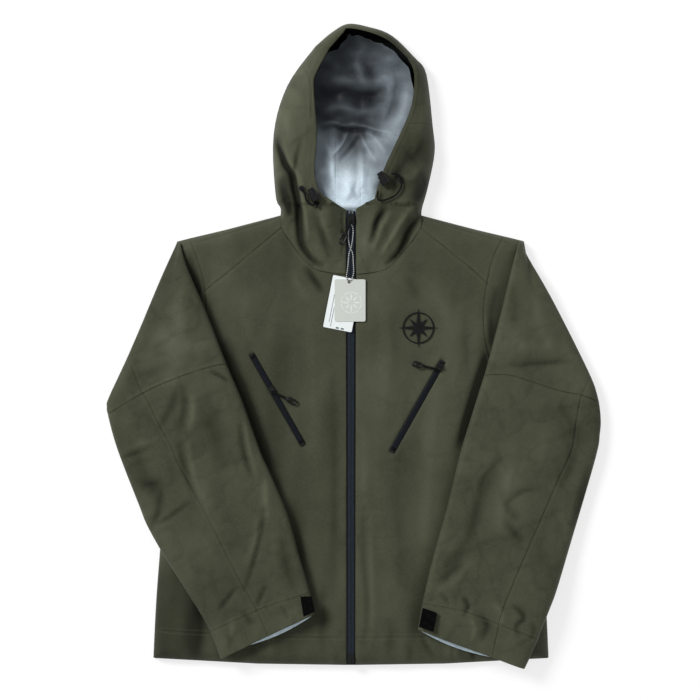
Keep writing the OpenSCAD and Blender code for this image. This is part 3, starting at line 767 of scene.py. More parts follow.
def thread_material(name, colour, pale):
    """Satin stitches: fine parallel threads with a soft gloss."""
    n = Nodes(name, 0.5)
    n.bsdf.inputs["Specular IOR Level"].default_value = 0.25
    at = n.object_coords()
    split = n.node("ShaderNodeSeparateXYZ", i0=at)
    lines = n.sine(n.math("ADD", n.math("MULTIPLY", split.outputs[0], 0.35), split.outputs[1]), 0.0009)
    grain = n.noise(at, 600.0, 3.0, 0.6)
    n.colour(n.mix(n.math("MULTIPLY", lines, n.spread(grain, 0.3, 0.7)), colour, pale))
    n.bump(lines, 0.6, 0.0005)
    return n.material


def card_material(name, colour):
    """Plain card with a paper grain."""
    n = Nodes(name, 0.55)
    at = n.object_coords()
    grain = n.noise(at, 500.0, 4.0, 0.6)
    base = n.mix(n.spread(grain, 0.3, 0.7), colour, scaled(colour, 0.93))
    n.colour(base)
    n.bump(grain, 0.12, 0.0003)
    return n.material


BLACK_PLASTIC = plastic_material("black_plastic", srgb(4, 4, 5), 0.24, level=0.5)
RUBBER = plastic_material("pull_rubber", srgb(6, 7, 8), 0.42, 1400.0, level=0.35)
PAINTED_METAL = plastic_material("painted_metal", srgb(7, 8, 9), 0.24, level=0.5)
BARE_METAL = metal_material("bare_metal", srgb(170, 174, 178))
DARK_METAL = metal_material("dark_metal", srgb(60, 62, 66))
CORD = braid_material("braid", srgb(6, 7, 7), srgb(26, 27, 26))
STRING = braid_material("string", srgb(5, 5, 6), srgb(250, 252, 250), 3.4, 0.58, 0.12)
THREAD = thread_material("embroidery", srgb(4, 4, 5), srgb(17, 18, 20))
CARD_FRONT = card_material("card_front", srgb(211, 216, 209))
CARD_BACK = card_material("card_back", srgb(246, 252, 252))
HOOK_PATCH = plastic_material("hook_patch", srgb(3, 3, 4), 0.85, 1800.0, level=0.08)


# ---- cords ----------------------------------------------------------------------

def tube(name, line, radius, material, sides=12, closed=False, flat=1.0):
    """A round tube along the line, mm; radius may change along it. flat squeezes it in Z."""
    line = np.array(line, float)
    m = len(line)
    radii = np.broadcast_to(np.array(radius, float), (m,))
    tangent = (np.roll(line, -1, 0) - np.roll(line, 1, 0)) if closed else np.gradient(line, axis=0)
    tangent /= np.linalg.norm(tangent, axis=1)[:, None]
    side = np.cross(tangent[0], (0.02, 0.03, 1.0))
    co, uv, run = [], [], 0.0
    for i in range(m):
        side = side - tangent[i] * (side @ tangent[i])
        side /= np.linalg.norm(side)
        up = np.cross(side, tangent[i])
        if i:
            run += np.linalg.norm(line[i] - line[i - 1])
        for k in range(sides):
            a = 2 * math.pi * k / sides
            q = (side * math.cos(a) + up * math.sin(a)) * radii[i]
            q[2] *= flat
            co.append(line[i] + q)
            uv.append((a * 1.8 / math.pi, run, 0))
    faces = []
    for i in range(m if closed else m - 1):
        for k in range(sides):
            a, b = i * sides + k, i * sides + (k + 1) % sides
            c, d = ((i + 1) % m) * sides + (k + 1) % sides, ((i + 1) % m) * sides + k
            faces.append((a, d, c, b))
    if not closed:
        faces.append(tuple(range(sides)))
        faces.append(tuple(range((m - 1) * sides, m * sides))[::-1])
    mesh = bpy.data.meshes.new(name)
    mesh.from_pydata((np.array(co) * MM).tolist(), [], faces)
    mesh.polygons.foreach_set("use_smooth", [True] * len(faces))
    mesh.materials.append(material)
    layer = mesh.attributes.new("ribbon", "FLOAT_VECTOR", "POINT")
    layer.data.foreach_set("vector", np.array(uv, np.float32).ravel())
    obj = bpy.data.objects.new(name, mesh)
    COLLECTION.objects.link(obj)
    return obj


def cord_tube(name, points, diameter, material):
    """A cord along the points: the object and its centreline in metres."""
    line = catmull(points, 8)
    obj = tube(name, line, diameter / 2, material)
    return obj, [[float(c) * MM for c in p] for p in line]


def join_parts(name, parts):
    """The parts as one object."""
    bpy.ops.object.select_all(action="DESELECT")
    for part in parts:
        part.select_set(True)
    bpy.context.view_layer.objects.active = parts[0]
    bpy.ops.object.join()
    parts[0].name = name
    return parts[0]


S = 29.1
STRING_PATH = [
    (2.4, 190, S), (3.4, 182, S), (2.6, 170, S), (0.2, 156, S + 0.8), (-3.2, 146, S), (-4.6, 130, S),
    (-6.4, 116, S + 1), (-7.2, 109, 31.6), (-5.6, 103.4, 31.6), (-4.2, 101, 29.8), (-2.4, 100.6, 29.8),
    (-0.6, 103.2, 31.8), (2.6, 109, 32), (4.4, 118, S + 0.6), (3.6, 132, S), (2.6, 146, S),
    (-1.6, 156, S - 0.7), (-4.0, 168, S), (-4.2, 180, S), (-2.4, 190, S), (0, 191.4, S), (2.0, 190.4, S)]
END_PATH = [(-78, 248, 48), (-78, 248, 53), (-77, 245, 56), (-73, 239, 55), (-70, 229, 53),
            (-63, 222, 53), (-56, 223, 53)]
LOOP_PATH = [(64, 271, 54.6), (72, 270.5, 54.4), (79, 264, 53.6), (79, 250, 53), (71, 238, 52.8),
             (58, 231, 52.6), (46, 229, 52.6), (41.5, 235, 52.8), (43, 244, 53)]

tag_string, string_line = cord_tube("tag_string_cord", STRING_PATH, 1.4, STRING)
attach(tag_string, "main_slider")
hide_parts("tag_string")

loop_cord, loop_line = cord_tube("hood_cord_loop", LOOP_PATH, 3.0, CORD)
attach(loop_cord, "hood")
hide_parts("cord_loop_left")

end_cord, end_line = cord_tube("hood_cord_end", END_PATH, 3.0, CORD)
KNOT = [(4.6 * math.sin(t) * 0.62 + 1.5 * math.sin(2 * t), 3.0 * math.cos(t) - 1.4 * math.cos(2 * t),
         1.5 * math.sin(3 * t)) for t in np.linspace(0, 2 * math.pi, 48, endpoint=False)]
end_knot = tube("hood_cord_knot", np.array(KNOT) + (-54.2, 223, 53.6), 1.5, CORD, closed=True)
for piece in (end_cord, end_knot):
    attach(piece, "hood")
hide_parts("cord_end_right")


# ---- torso --------------------------------------------------------------------------

INNER_RIGHT = [(-273, 169), (-261, 127), (-229, 52), (-197, -30), (-173, -86), (-144, -167),
               (-131, -196), (-101, -266), (-83, -330), (-65, -391), (-58, -426)]
INNER_LEFT = [(268, 168.5), (256, 127), (238, 54), (220, -15), (211, -47), (174, -167),
              (152, -257), (128, -343), (113, -408), (106, -450)]

# painted shade on the fronts, the last stroke painted paler as a highlight: (line, width, -strength)
TORSO_SHADES = [
    ([(214, -8), (202, -54), (187, -104), (168, -166)], 7, -1.0),
    ([(-200, 14), (-178, -52), (-152, -120), (-122, -200)], 10, -0.85),
    ([(-262, 140), (-250, 112), (-238, 80)], 7, -0.6),
    ([(232, 96), (222, 50), (222, 0)], 5, -0.5),
    ([(-70, 128), (-58, 104), (-42, 82)], 5, -0.35),
    ([(-236, -380), (-250, -430), (-262, -490)], 14, -0.35),
    ([(104, -410), (100, -450), (112, -500)], 12, -0.35),
    ([(-40, -420), (-60, -450), (-120, -480)], 12, -0.30),
    ([(-150, -480), (-180, -500), (-210, -507)], 9, -0.35),
    ([(20, -120), (20, -300), (16, -470)], 7, 0.25),
]


def torso_tone(x, y):
    """Painted shade on the front: a shade deeper than on the sleeves, painted shadow beside and under the
    sleeves, painted shade and highlight in its folds and along the strokes above; paler along the yoke
    seams, random mottle over the front and by the hem.
    """
    tone = np.where(x < 0, 0.15, 0.07) + fold_shade(x, y, TORSO_FOLDS_RIGHT + TORSO_FOLDS_LEFT, 6.0)
    tone += fold_shade(x, y, TORSO_SHADES, 1.0)
    # painted shadow beside the sleeves' outer edges near the hem
    tone += 0.42 * smooth01((-x - 215) / 35) * smooth01((-320 - y) / 60)
    tone += 0.20 * smooth01((x - 250) / 30) * smooth01((-330 - y) / 60)
    hem = near(np.abs(x), y, HEM)[0]
    tone += 0.16 * noise(x / 11, y / 40, 24) * np.exp(-hem / 30)
    tone += 0.10 * noise(x / 34, y / 120, 25) + 0.06 * noise(x / 13, y / 40, 26)
    for line in (YOKE_LEFT, YOKE_RIGHT):
        tone -= 0.10 * np.exp(-(near(x, y, line)[0] / 7) ** 2)
    # painted shadow of the sleeves' inner edges on the front
    left = 0.30 + 0.40 * smooth01((70 - y) / 50) * smooth01((y + 190) / 80)
    right = 0.30 + 0.40 * smooth01((130 - y) / 60) * smooth01((y + 250) / 90)
    tone += left * np.exp(-(near(x, y, INNER_LEFT)[0] / 12) ** 2) * (y < 150)
    tone += right * np.exp(-(near(x, y, INNER_RIGHT)[0] / 12) ** 2) * (y < 150)
    return tone


def front_ring(sign):
    hem = [(ZIP_HALF, -510), (150, -508)]
    up = as_points(SIDE_LINE)
    neck = as_points(NECK_LINE)
    ring = hem + up + [(259, 171), (200, 185), (112, 208)] + neck
    return ring if sign > 0 else flip(ring)


HEM_STITCH = [(9, -464), (150, -462), (300, -453)]
SHOULDER_STITCH = [(246, 165), (195, 179), (133, 198), (116, 204)]

front_left = panel("front_left_cloth", front_ring(1), torso_height, [SHELL, LINING],
                   seams=[YOKE_LEFT, ARMHOLE_LEFT, HEM_STITCH, SHOULDER_STITCH], inner=1, tone=torso_tone,
                   paint=[as_points(NECK_LINE)], rows=pocket_rows("left"),
                   strong=[0.8, 0.8, 0.22, 0.35, 0.5])
front_right = panel("front_right_cloth", front_ring(-1), torso_height, [SHELL, LINING],
                    seams=[YOKE_RIGHT, ARMHOLE_RIGHT, flip(HEM_STITCH), flip(SHOULDER_STITCH)], inner=1,
                    tone=torso_tone, paint=[flip(as_points(NECK_LINE))],
                    rows=pocket_rows("right"), strong=[1.0, 0.7, 0.22, 0.4, 0.45])
for piece, side in ((front_left, "left"), (front_right, "right")):
    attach(piece, "body")
    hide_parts(f"front_{side}", f"yoke_{side}", f"hem_facing_{side}", f"pocket_bag_{side}")
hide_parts("storm_flap")


def back_height(x, y):
    return 1.6 + 0.6 * noise(x / 60, y / 60, 31)


back_ring = [(0, -508)] + [(150, -506)] + [(p[0] - 1.5, p[1] + 1) for p in SIDE_LINE] \
    + [(258, 170), (200, 184), (112, 206), (111, 218), (0, 218)]
back_ring = back_ring + flip(back_ring[::-1])[1:-1]
back = panel("back_cloth", back_ring, back_height, [LINING, SHELL], inner=1, step=9)
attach(back, "body")
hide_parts("back_panel", "hem_facing_back")

# ---- sleeves ------------------------------------------------------------------------

OUTER_RIGHT = [(-277, 167), (-316, 76), (-355, -15), (-386, -82), (-389.5, -97), (-387, -114),
               (-372, -167), (-338, -254), (-314, -305), (-230, -439), (-206, -497)]
OUTER_LEFT = [(272, 167), (284, 138), (328, 60), (379, -42), (393, -80), (398, -112), (397, -140),
              (388, -187), (334, -368), (312, -427), (275, -513)]
ELBOW_RIGHT = [(-387.6, -110), (-331, -76), (-290, -57), (-246, -41), (-211, -31), (-197, -30)]
ELBOW_LEFT = [(211, -47), (251, -47), (299, -62), (336, -73), (366, -79), (395.4, -90)]
CUFF_TOP_RIGHT = [(-223, -453), (-158, -423), (-131, -412), (-65, -391)]
CUFF_TOP_LEFT = [(113, -408), (178, -420), (222, -436), (297, -466)]
LONG_RIGHT = [(-355, -15), (-347, -39), (-333, -73), (-323, -89), (-306, -122), (-283, -164),
              (-274, -186), (-230, -266), (-198, -329), (-170, -383), (-150, -417), (-131, -460)]
LONG_LEFT = [(378, -54), (366, -79), (358, -118), (350, -167), (328, -215), (277, -328),
             (237, -426), (224, -488)]

SLEEVE_THICK = 20.0
LONG_STRENGTH = {"right": 0.4, "left": 1.0}  # how plainly the seam down each sleeve shows


def signed_torso(x, y):
    """Distance into the torso from its side, mm; below 0 outside it."""
    ax = np.abs(x)
    d, s, _, _ = near(ax, y, SIDE_LINE)
    return np.where(s > 0, d, -d)


SHOULDER_TIP = (275, 167)
TIP_REACH = 55


def at_tip(x, y):
    """1 at the tip of the shoulder, where the sleeve is sewn to the rolled edge of the body."""
    return np.exp(-(np.hypot(np.abs(x) - SHOULDER_TIP[0], y - SHOULDER_TIP[1]) / TIP_REACH) ** 2)


def sleeve_base(x, y):
    """What the sleeve lies on: the front, then a slope down to the floor beside it."""
    d = signed_torso(x, y)
    lying = 29.6 - 25.6 * smooth01((25 - d) / 80)
    sewn = 3.5 + (torso_base(x, y) - 1.1) * smooth01(d / 6)
    tip = at_tip(x, y)
    return lying * (1 - tip) + sewn * tip


SLEEVE_FOLDS_RIGHT = [
    ([(-270, -60), (-284, -96), (-306, -140)], 7, -1.9),
    ([(-264, -60), (-262, -98), (-272, -140)], 6, -1.8),
    ([(-250, -78), (-248, -104), (-254, -140)], 7, 2.0),
    ([(-376, -184), (-348, -174), (-312, -160)], 3.2, -1.5),
    ([(-366, -172), (-340, -160), (-306, -148)], 7, 1.2),
    ([(-311, -286), (-282, -268), (-252, -246)], 4, -2.0),
    ([(-224, -40), (-206, -49), (-192, -58)], 3, -2.8),
    ([(-272, -150), (-262, -200), (-244, -250)], 5, -2.0),
    ([(-258, -146), (-250, -196), (-232, -244)], 5, 1.5),
    ([(-169, -118), (-159, -168), (-147, -206)], 3.5, 2.4),
    ([(-177, -122), (-168, -175), (-154, -216)], 3.5, -2.2),
    ([(-136, -250), (-141, -292), (-154, -344), (-170, -392)], 3.2, -2.2),
    ([(-130, -282), (-134, -240), (-134, -210)], 7, 2.2),
    ([(-148, -270), (-152, -310), (-166, -352)], 6, 1.8),
    ([(-321, -296), (-306, -264), (-300, -226)], 6, -2.3),
    ([(-344, -214), (-320, -222), (-296, -212)], 8, -1.2),
    ([(-208, -418), (-196, -402), (-182, -384)], 3.6, -2.6),
    ([(-150, -412), (-142, -396), (-134, -379)], 3.6, -2.6),
    ([(-172, -420), (-160, -436), (-148, -440)], 4, -1.8),
    ([(-110, -410), (-104, -422), (-98, -434)], 4, -1.6),
    ([(-196, -454), (-190, -470), (-194, -484)], 5, -1.6),
    ([(-310, 20), (-270, 0), (-226, -4)], 13, 1.4),
    ([(-350, -60), (-320, -44), (-280, -30)], 11, -1.6),
    ([(-262, 100), (-272, 60), (-268, 10)], 12, 1.4),
    ([(-240, -80), (-220, -120), (-196, -200)], 18, -1.8),
    ([(-250, -180), (-230, -240), (-206, -300)], 14, 1.6),
    ([(-350, -150), (-330, -200), (-300, -250)], 12, -1.5),
    ([(-110, -300), (-100, -350), (-90, -390)], 9, -1.6),
    ([(-190, -430), (-186, -446), (-190, -462)], 6, 1.8),
]
SLEEVE_FOLDS_LEFT = [
    ([(250, -34), (290, -29), (358, -25)], 4.5, -2.2),
    ([(250, 10), (290, -4), (330, -2)], 12, 1.4),
    ([(240, -176), (222, -206), (206, -240), (194, -285), (172, -330), (138, -366)], 11, -2.0),
    ([(244, -172), (214, -204), (200, -236)], 4, -1.4),
    ([(240, -256), (262, -238), (280, -230), (304, -226)], 3.6, -1.8),
    ([(330, -92), (350, -120), (356, -150)], 10, -1.3),
    ([(378, -186), (368, -236), (352, -292)], 9, -2.0),
    ([(300, -120), (310, -160), (300, -200)], 16, 1.4),
    ([(262, -180), (246, -240), (236, -300)], 16, 1.8),
    ([(128, -378), (150, -366), (176, -346)], 5, -1.6),
    ([(138, -390), (168, -370), (196, -336)], 8, 1.6),
    ([(240, -230), (252, -262), (270, -276)], 8, -1.8),
    ([(240, -272), (262, -300), (274, -312)], 7, -2.0),
    ([(176, -396), (185, -412), (178, -428)], 3.6, -3.0),
    ([(254, -408), (274, -430), (262, -444), (268, -462)], 4, -3.2),
    ([(226, -406), (240, -428), (232, -446)], 6, 2.0),
    ([(204, -424), (216, -444), (206, -468)], 5, -2.6),
    ([(188, -430), (196, -448), (190, -470)], 5, 2.2),
    ([(286, -436), (290, -450), (284, -466)], 4, -1.8),
    ([(138, -392), (150, -400), (156, -414)], 4, -1.6),
    ([(296, 90), (300, 40), (318, -10)], 13, 1.5),
    ([(256, 100), (262, 60), (256, 20)], 10, -1.4),
    ([(360, -120), (352, -170), (338, -230)], 10, -1.6),
]


def sleeve_functions(outer, inner, folds, seed, mouth):
    """The top and bottom heights of one sleeve."""
    def top(x, y):
        base = sleeve_base(x, y)
        d_out = near(x, y, outer)[0]
        d_in = near(x, y, inner)[0]
        thick = SLEEVE_THICK + 6 * smooth01((20 - signed_torso(x, y)) / 80)
        thick = thick * (1 - 0.6 * at_tip(x, y))
        z = base + thick
        z = low_of(z, base + thick * 0.42 + thick * 0.58 * roll(d_out / 17), 1.5)
        z = low_of(z, base + thick * 0.62 + thick * 0.38 * roll(d_in / 9), 1.0)
        wrinkle = 1.6 * noise(x / 44 + y / 130, y / 60 - x / 150, seed)
        wrinkle += 1.0 * noise(x / 19 + y / 60, y / 27, seed + 1)
        wrinkle += 0.5 * noise(x / 10 + noise(x / 30, y / 30, 9), y / 11, seed + 2)
        wrinkle -= 1.3 * np.exp(-np.abs(noise(x / 34 + y / 90, y / 30 - x / 70, seed + 5)) / 0.10)
        d_cuff = near(x, y, mouth)[0]
        wrinkle += 1.2 * noise(x / 14, y / 24, seed + 3) * np.exp(-d_cuff / 26)
        wrinkle += 1.7 * fold_height(x, y, folds)
        z += wrinkle * smooth01(np.minimum(d_out, d_in) / 9)
        z -= 3.0 * np.exp(-d_cuff / 10)
        return np.minimum(z, 54.5)

    def bottom(x, y):
        base = sleeve_base(x, y)
        d_out = near(x, y, outer)[0]
        d_in = near(x, y, inner)[0]
        rise = 8.0 * (1 - roll(d_out / 13)) + 9.0 * (1 - roll(d_in / 8))
        return base + rise * (1 - 0.85 * at_tip(x, y))

    def tone(x, y):
        # painted shade in the sleeve's folds and crumple creases, painted shade and light that differ
        # between the two sleeves and up their length, paler toward the cuff, random mottle
        shade = fold_shade(x, y, folds, 4.2)
        web = np.abs(noise(x / 34 + y / 90, y / 30 - x / 70, seed + 5))
        shade += 0.16 * np.exp(-web / 0.12) + 0.12 * noise(x / 40, y / 60, seed + 6)
        shade += 0.07 * noise(x / 15, y / 18, seed + 7)
        d_cuff = near(x, y, mouth)[0]
        shade += 0.16 * noise(x / 12, y / 22, seed + 3) * np.exp(-d_cuff / 30)
        upper = smooth01((y + 60) / 90)
        shade += np.where(x < 0, 0.12 + 0.10 * upper, 0.04 - 0.14 * upper)
        shade -= 0.14 * np.exp(-d_cuff / 34)
        return shade
    return top, bottom, tone


def between(line, start, end):
    """The part of a line from the point nearest start to the point nearest end."""
    p = np.array(line, float)
    i = int(np.argmin(np.hypot(*(p - start).T)))
    k = int(np.argmin(np.hypot(*(p - end).T)))
    return p[i:k + 1] if i <= k else p[k:i + 1][::-1]


def make_sleeve(side, outer, inner, elbow, cuff_top, mouth, seam, folds, seed):
    outer_line = catmull(outer, 6)
    inner_line = catmull(inner, 4)
    elbow_line = catmull(elbow, 5)
    cuff_line = catmull(cuff_top, 4)
    top, bottom, tone = sleeve_functions(outer_line, inner_line, folds, seed, mouth)
    elbow_in_out = elbow_line[::-1] if side == "right" else elbow_line
    cuff_in_out = cuff_line[::-1] if side == "right" else cuff_line
    e_in, e_out = elbow_in_out[0], elbow_in_out[-1]
    c_in, c_out = cuff_in_out[0], cuff_in_out[-1]
    seam_line = as_points(seam)
    upper_ring = list(between(outer_line, outer_line[0], e_out)[:-1]) + list(elbow_in_out[::-1]) \
        + list(between(inner_line, inner_line[0], e_in)[::-1][1:-1])
    fore_ring = list(elbow_in_out) + list(between(outer_line, e_out, c_out)[1:-1]) \
        + list(cuff_in_out[::-1]) + list(between(inner_line, e_in, c_in)[::-1][1:-1])
    m_in, m_out = np.array(mouth[0], float), np.array(mouth[-1], float)
    cuff_ring = list(cuff_in_out) + [m_out] + [np.array(p, float) for p in mouth[::-1][1:-1]] + [m_in]
    upper = pillow(f"upper_sleeve_{side}_cloth", upper_ring, top, bottom, [SHELL, LINING],
                   seams=[[p for p in seam_line if p[1] > -112]], mouths=[elbow_line], paint=[elbow],
                   tone=tone, strong=[0.35, 0.8])
    fore = pillow(f"forearm_{side}_cloth", fore_ring, top, bottom, [SHELL, LINING],
                  seams=[[p for p in seam_line if p[1] < -50]], mouths=[elbow_line, cuff_line],
                  paint=[elbow, cuff_top], tone=tone, strong=[LONG_STRENGTH[side], 0.8, 0.3])

    direction = m_out - m_in
    length = np.linalg.norm(direction)
    direction /= length
    outward = np.array([direction[1], -direction[0]])
    centre = np.mean(cuff_line, 0)
    if (m_in - centre) @ outward < 0:
        outward = -outward

    def slide(xy):
        d = near(xy[:, 0], xy[:, 1], mouth)[0]
        t = np.clip(((xy - m_in) @ direction) / length, 0, 1)
        gap = 6.5 * np.sin(np.pi * np.clip(t / 0.72, 0, 1)) ** 0.8
        return xy + outward * (gap * np.exp(-d / 9))[:, None]

    cuff = pillow(f"cuff_{side}_cloth", cuff_ring, top, bottom, [SHELL, LINING],
                  seams=[[p for p in seam_line if p[1] < -380]], mouths=[cuff_line, mouth],
                  slide=slide, paint=[cuff_top], tone=tone, strong=[LONG_STRENGTH[side], 0.3])
    return upper, fore, cuff


MOUTH_RIGHT = [(-58, -426), (-95, -443), (-150, -469), (-206, -497)]
MOUTH_LEFT = [(106, -450), (150, -467), (210, -489), (275, -513)]
SLEEVES = {
    "right": make_sleeve("right", OUTER_RIGHT, INNER_RIGHT, ELBOW_RIGHT, CUFF_TOP_RIGHT,
                         MOUTH_RIGHT, LONG_RIGHT, SLEEVE_FOLDS_RIGHT, 41),
    "left": make_sleeve("left", OUTER_LEFT, INNER_LEFT, ELBOW_LEFT, CUFF_TOP_LEFT,
                        MOUTH_LEFT, LONG_LEFT, SLEEVE_FOLDS_LEFT, 57),
}
for side, sign in (("right", -1), ("left", 1)):
    upper, fore, cuff = SLEEVES[side]
    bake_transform(upper)
    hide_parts(f"upper_sleeve_{side}")
    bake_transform(fore)
    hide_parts(f"forearm_{side}")
    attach(cuff, f"forearm_{side}")
    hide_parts(f"cuff_{side}")

# ---- hood ---------------------------------------------------------------------------

RIM_LEFT = [(112, 208), (113, 220), (122, 252), (133, 308), (130, 350), (120, 433), (104, 457)]
RIM_TOP = [(104, 457), (66, 494), (29, 508), (-5, 513), (-30, 500), (-56, 478)]
RIM_RIGHT = [(-56, 478), (-101, 415), (-123, 337), (-120, 242), (-112, 220), (-112, 208)]
FACE_LEFT = [(90, 456), (100, 430), (96, 380), (78, 335), (66, 310), (50, 274), (42, 251), (37, 232)]
FACE_TOP = [(-34, 470), (-12, 495), (-5, 502), (28, 496), (60, 482), (90, 456)]
FACE_RIGHT = [(-38, 234), (-51, 247), (-58, 279), (-54, 335), (-59, 410), (-54, 433), (-34, 470)]
RIM_LINE = np.vstack([catmull(RIM_LEFT, 5), catmull(RIM_TOP, 5)[1:], catmull(RIM_RIGHT, 5)[1:]])
FACE_LINE = np.vstack([catmull(FACE_RIGHT, 5), catmull(FACE_TOP, 5)[1:], catmull(FACE_LEFT, 5)[1:]])
HOOD_TOP = 48.6

HOOD_FOLDS = [
    ([(-121, 336), (-106, 293), (-94, 273), (-90, 249), (-84, 221), (-82, 185), (-78, 161), (-62, 137),
      (-42, 125)], 5.5, -10.0),
    ([(-112, 322), (-96, 288), (-82, 262), (-75, 222), (-71, 190), (-66, 166)], 4.5, 5.5),
    ([(-78, 329), (-88, 281), (-84, 240), (-76, 205), (-73, 169)], 4, -4.0),
    ([(-112, 268), (-108, 246), (-100, 222), (-96, 204)], 9, -6.0),
    ([(-60, 217), (-52, 190), (-40, 160), (-30, 138)], 8, -3.2),
    ([(-50, 212), (-40, 184), (-26, 158)], 6, 2.2),
    ([(-114, 440), (-96, 420), (-82, 400)], 5, -1.8),
    ([(-110, 380), (-100, 350), (-92, 320)], 9, 2.0),
    ([(-96, 440), (-80, 432), (-66, 440)], 5, 1.6),
    ([(58, 221), (42, 197), (36, 178), (30, 160)], 5, -6.0),
    ([(66, 214), (52, 192), (44, 170), (34, 146)], 6, 3.0),
    ([(117, 213), (94, 183), (78, 149), (54, 126)], 6, -7.5),
    ([(104, 228), (84, 200), (66, 170), (46, 140)], 6, 4.0),
    ([(118, 289), (98, 268), (76, 262)], 8, 2.8),
    ([(122, 270), (112, 246), (104, 228)], 8, -4.0),
    ([(118, 330), (106, 306), (88, 286)], 8, -2.4),
    ([(120, 400), (114, 366), (108, 334)], 7, 2.0),
    ([(98, 316), (80, 282), (66, 250)], 6, -2.0),
]


# painted shade between the folds, the last four painted paler as highlights: (line, width, -strength)
HOOD_SHADES = [
    ([(-120, 330), (-108, 296), (-102, 262), (-98, 236)], 8, -0.62),
    ([(-102, 240), (-98, 214), (-92, 190)], 7, -0.45),
    ([(60, 270), (90, 262), (118, 284)], 12, -0.30),
    ([(116, 250), (100, 222), (86, 190), (66, 150)], 9, -0.5),
    ([(54, 232), (42, 206), (34, 182)], 5, -0.4),
    ([(-56, 330), (-60, 290), (-56, 256)], 6, 0.35),
    ([(-104, 420), (-84, 380), (-70, 330)], 14, 0.30),
    ([(28, 210), (24, 180), (20, 150)], 7, 0.25),
    ([(92, 200), (76, 168), (58, 144)], 5, 0.3),
]


def hood_height(x, y):
    """The outside of the collar and hood, from the neck seam up to the brim."""
    ax = np.abs(x)
    neck = near(ax, y, NECK_LINE)[0]
    rise = smooth01(neck / 84) * smooth01((ax - 7) / 34)
    rise = np.where(y > 225, 1.0, rise)
    z = 28.2 + (HOOD_TOP - 28.2) * rise
    rim = near(x, y, RIM_LINE)[0]
    radius = 34 - 20 * smooth01((y - 440) / 50)
    z = low_of(z, 5 + (HOOD_TOP - 5) * roll(rim / radius), 3)
    face = near(x, y, FACE_LINE)[0]
    z -= 2.2 * np.exp(-face / 3.0) * (y > 216)
    waves = 1.8 * noise(x / 30 + y / 90, y / 70, 71) + 1.0 * noise(x / 15, y / 30, 72)
    waves += 0.4 * noise(x / 8, y / 11, 73)
    waves -= 1.2 * np.exp(-np.abs(noise(x / 26 + y / 80, y / 44 - x / 90, 76)) / 0.10)
    waves += 1.15 * fold_height(x, y, HOOD_FOLDS)
    z += waves * smooth01((z - 6) / 16) * (0.35 + 0.65 * smooth01(face / 14))
    z = np.where((ax < ZIP_HALF + 8) & (y < 215), low_of(z, zip_lip(x), 0.8), z)
    clear = 27.9 + 30 * smooth01((np.hypot(x + 3, y - 101) - 34) / 40)
    return np.minimum(np.minimum(z, 49.6), clear)


def hood_tone(x, y):
    """Painted shade in the hood's folds and crumple creases with painted highlight on the ridges, a deeper
    painted shade on the wearer's left, away from the key light, and random mottle.
    """
    tone = fold_shade(x, y, HOOD_FOLDS, 5.5) + fold_shade(x, y, HOOD_SHADES, 1.0)
    tone += 0.42 * smooth01((x - 20) / 40) * smooth01((y - 205) / 60)
    tone += 0.14 * np.exp(-np.abs(noise(x / 26 + y / 80, y / 44 - x / 90, 76)) / 0.12)
    tone += 0.12 * noise(x / 24, y / 40, 77) + 0.06 * noise(x / 9, y / 14, 78)
    return tone - 0.06


hood_left_ring = as_points(NECK_LINE[::-1])
hood_left_ring = hood_left_ring + [(111.5, 198)] + as_points(catmull(RIM_LEFT, 5)) \
    + as_points(catmull(FACE_LEFT, 5)) + [(22, 225), (ZIP_HALF + 1.4, 217)]
hood_right_ring = [(-p[0], p[1]) for p in NECK_LINE[::-1]]
hood_right_ring = hood_right_ring + [(-111.5, 198)] + as_points(catmull(RIM_RIGHT, 5)[::-1]) \
    + as_points(catmull(FACE_RIGHT, 5)[::-1]) + [(-24, 225), (-ZIP_HALF - 1.4, 215.5)]
brim_ring = as_points(catmull(RIM_TOP, 5)) + as_points(catmull(FACE_TOP, 5))

HOOD_SEAM_LEFT = [[(93, 351), (112, 351), (131, 350)]]
HOOD_SEAM_RIGHT = [[(-75, 441), (-67, 425), (-62, 403), (-64, 358)]]


def push_out(line, distance):
    """The line moved to its left by distance."""
    t = np.gradient(line, axis=0)
    t /= np.linalg.norm(t, axis=1)[:, None]
    return line + np.stack([-t[:, 1], t[:, 0]], -1) * distance


BAND_LEFT = as_points(push_out(catmull(FACE_LEFT, 3), 7))
BAND_RIGHT = as_points(push_out(catmull(FACE_RIGHT, 3), 7))


hood_left = panel("hood_side_left_cloth", hood_left_ring, hood_height, [SHELL, LINING],
                  seams=HOOD_SEAM_LEFT, inner=1, step=2.7, tone=hood_tone, strong=[0.3, 0.4, 0.3],
                  paint=[as_points(NECK_LINE), BAND_LEFT])
hood_right = panel("hood_side_right_cloth", hood_right_ring, hood_height, [SHELL, LINING],
                   seams=HOOD_SEAM_RIGHT, inner=1, step=2.7, tone=hood_tone, strong=[0.3, 0.35, 0.35],
                   paint=[flip(as_points(NECK_LINE)), BAND_RIGHT])
brim = panel("hood_brim_cloth", brim_ring, hood_height, [SHELL, DARK_FACING_AND_SHADE], inner=1, step=3.0,
             tone=hood_tone)
for piece, side in ((hood_left, "left"), (hood_right, "right")):
    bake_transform(piece)
    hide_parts(f"hood_side_{side}", f"collar_{side}")
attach(brim, "hood")
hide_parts("hood_brim")


def hood_back_height(x, y):
    rim = near(x, y, RIM_LINE)[0]
    return 1.4 + 3.6 * (1 - roll(rim / 12))


# the hood's back, near-black on top: painted shade where it shows between the lining's top edge and the
# brim
hood_back_ring = as_points(RIM_LINE)
hood_back = panel("hood_back_cloth", hood_back_ring, hood_back_height, [DARK_FACING_AND_SHADE, SHELL], inner=1, step=7)
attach(hood_back, "hood")
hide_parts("hood_back")

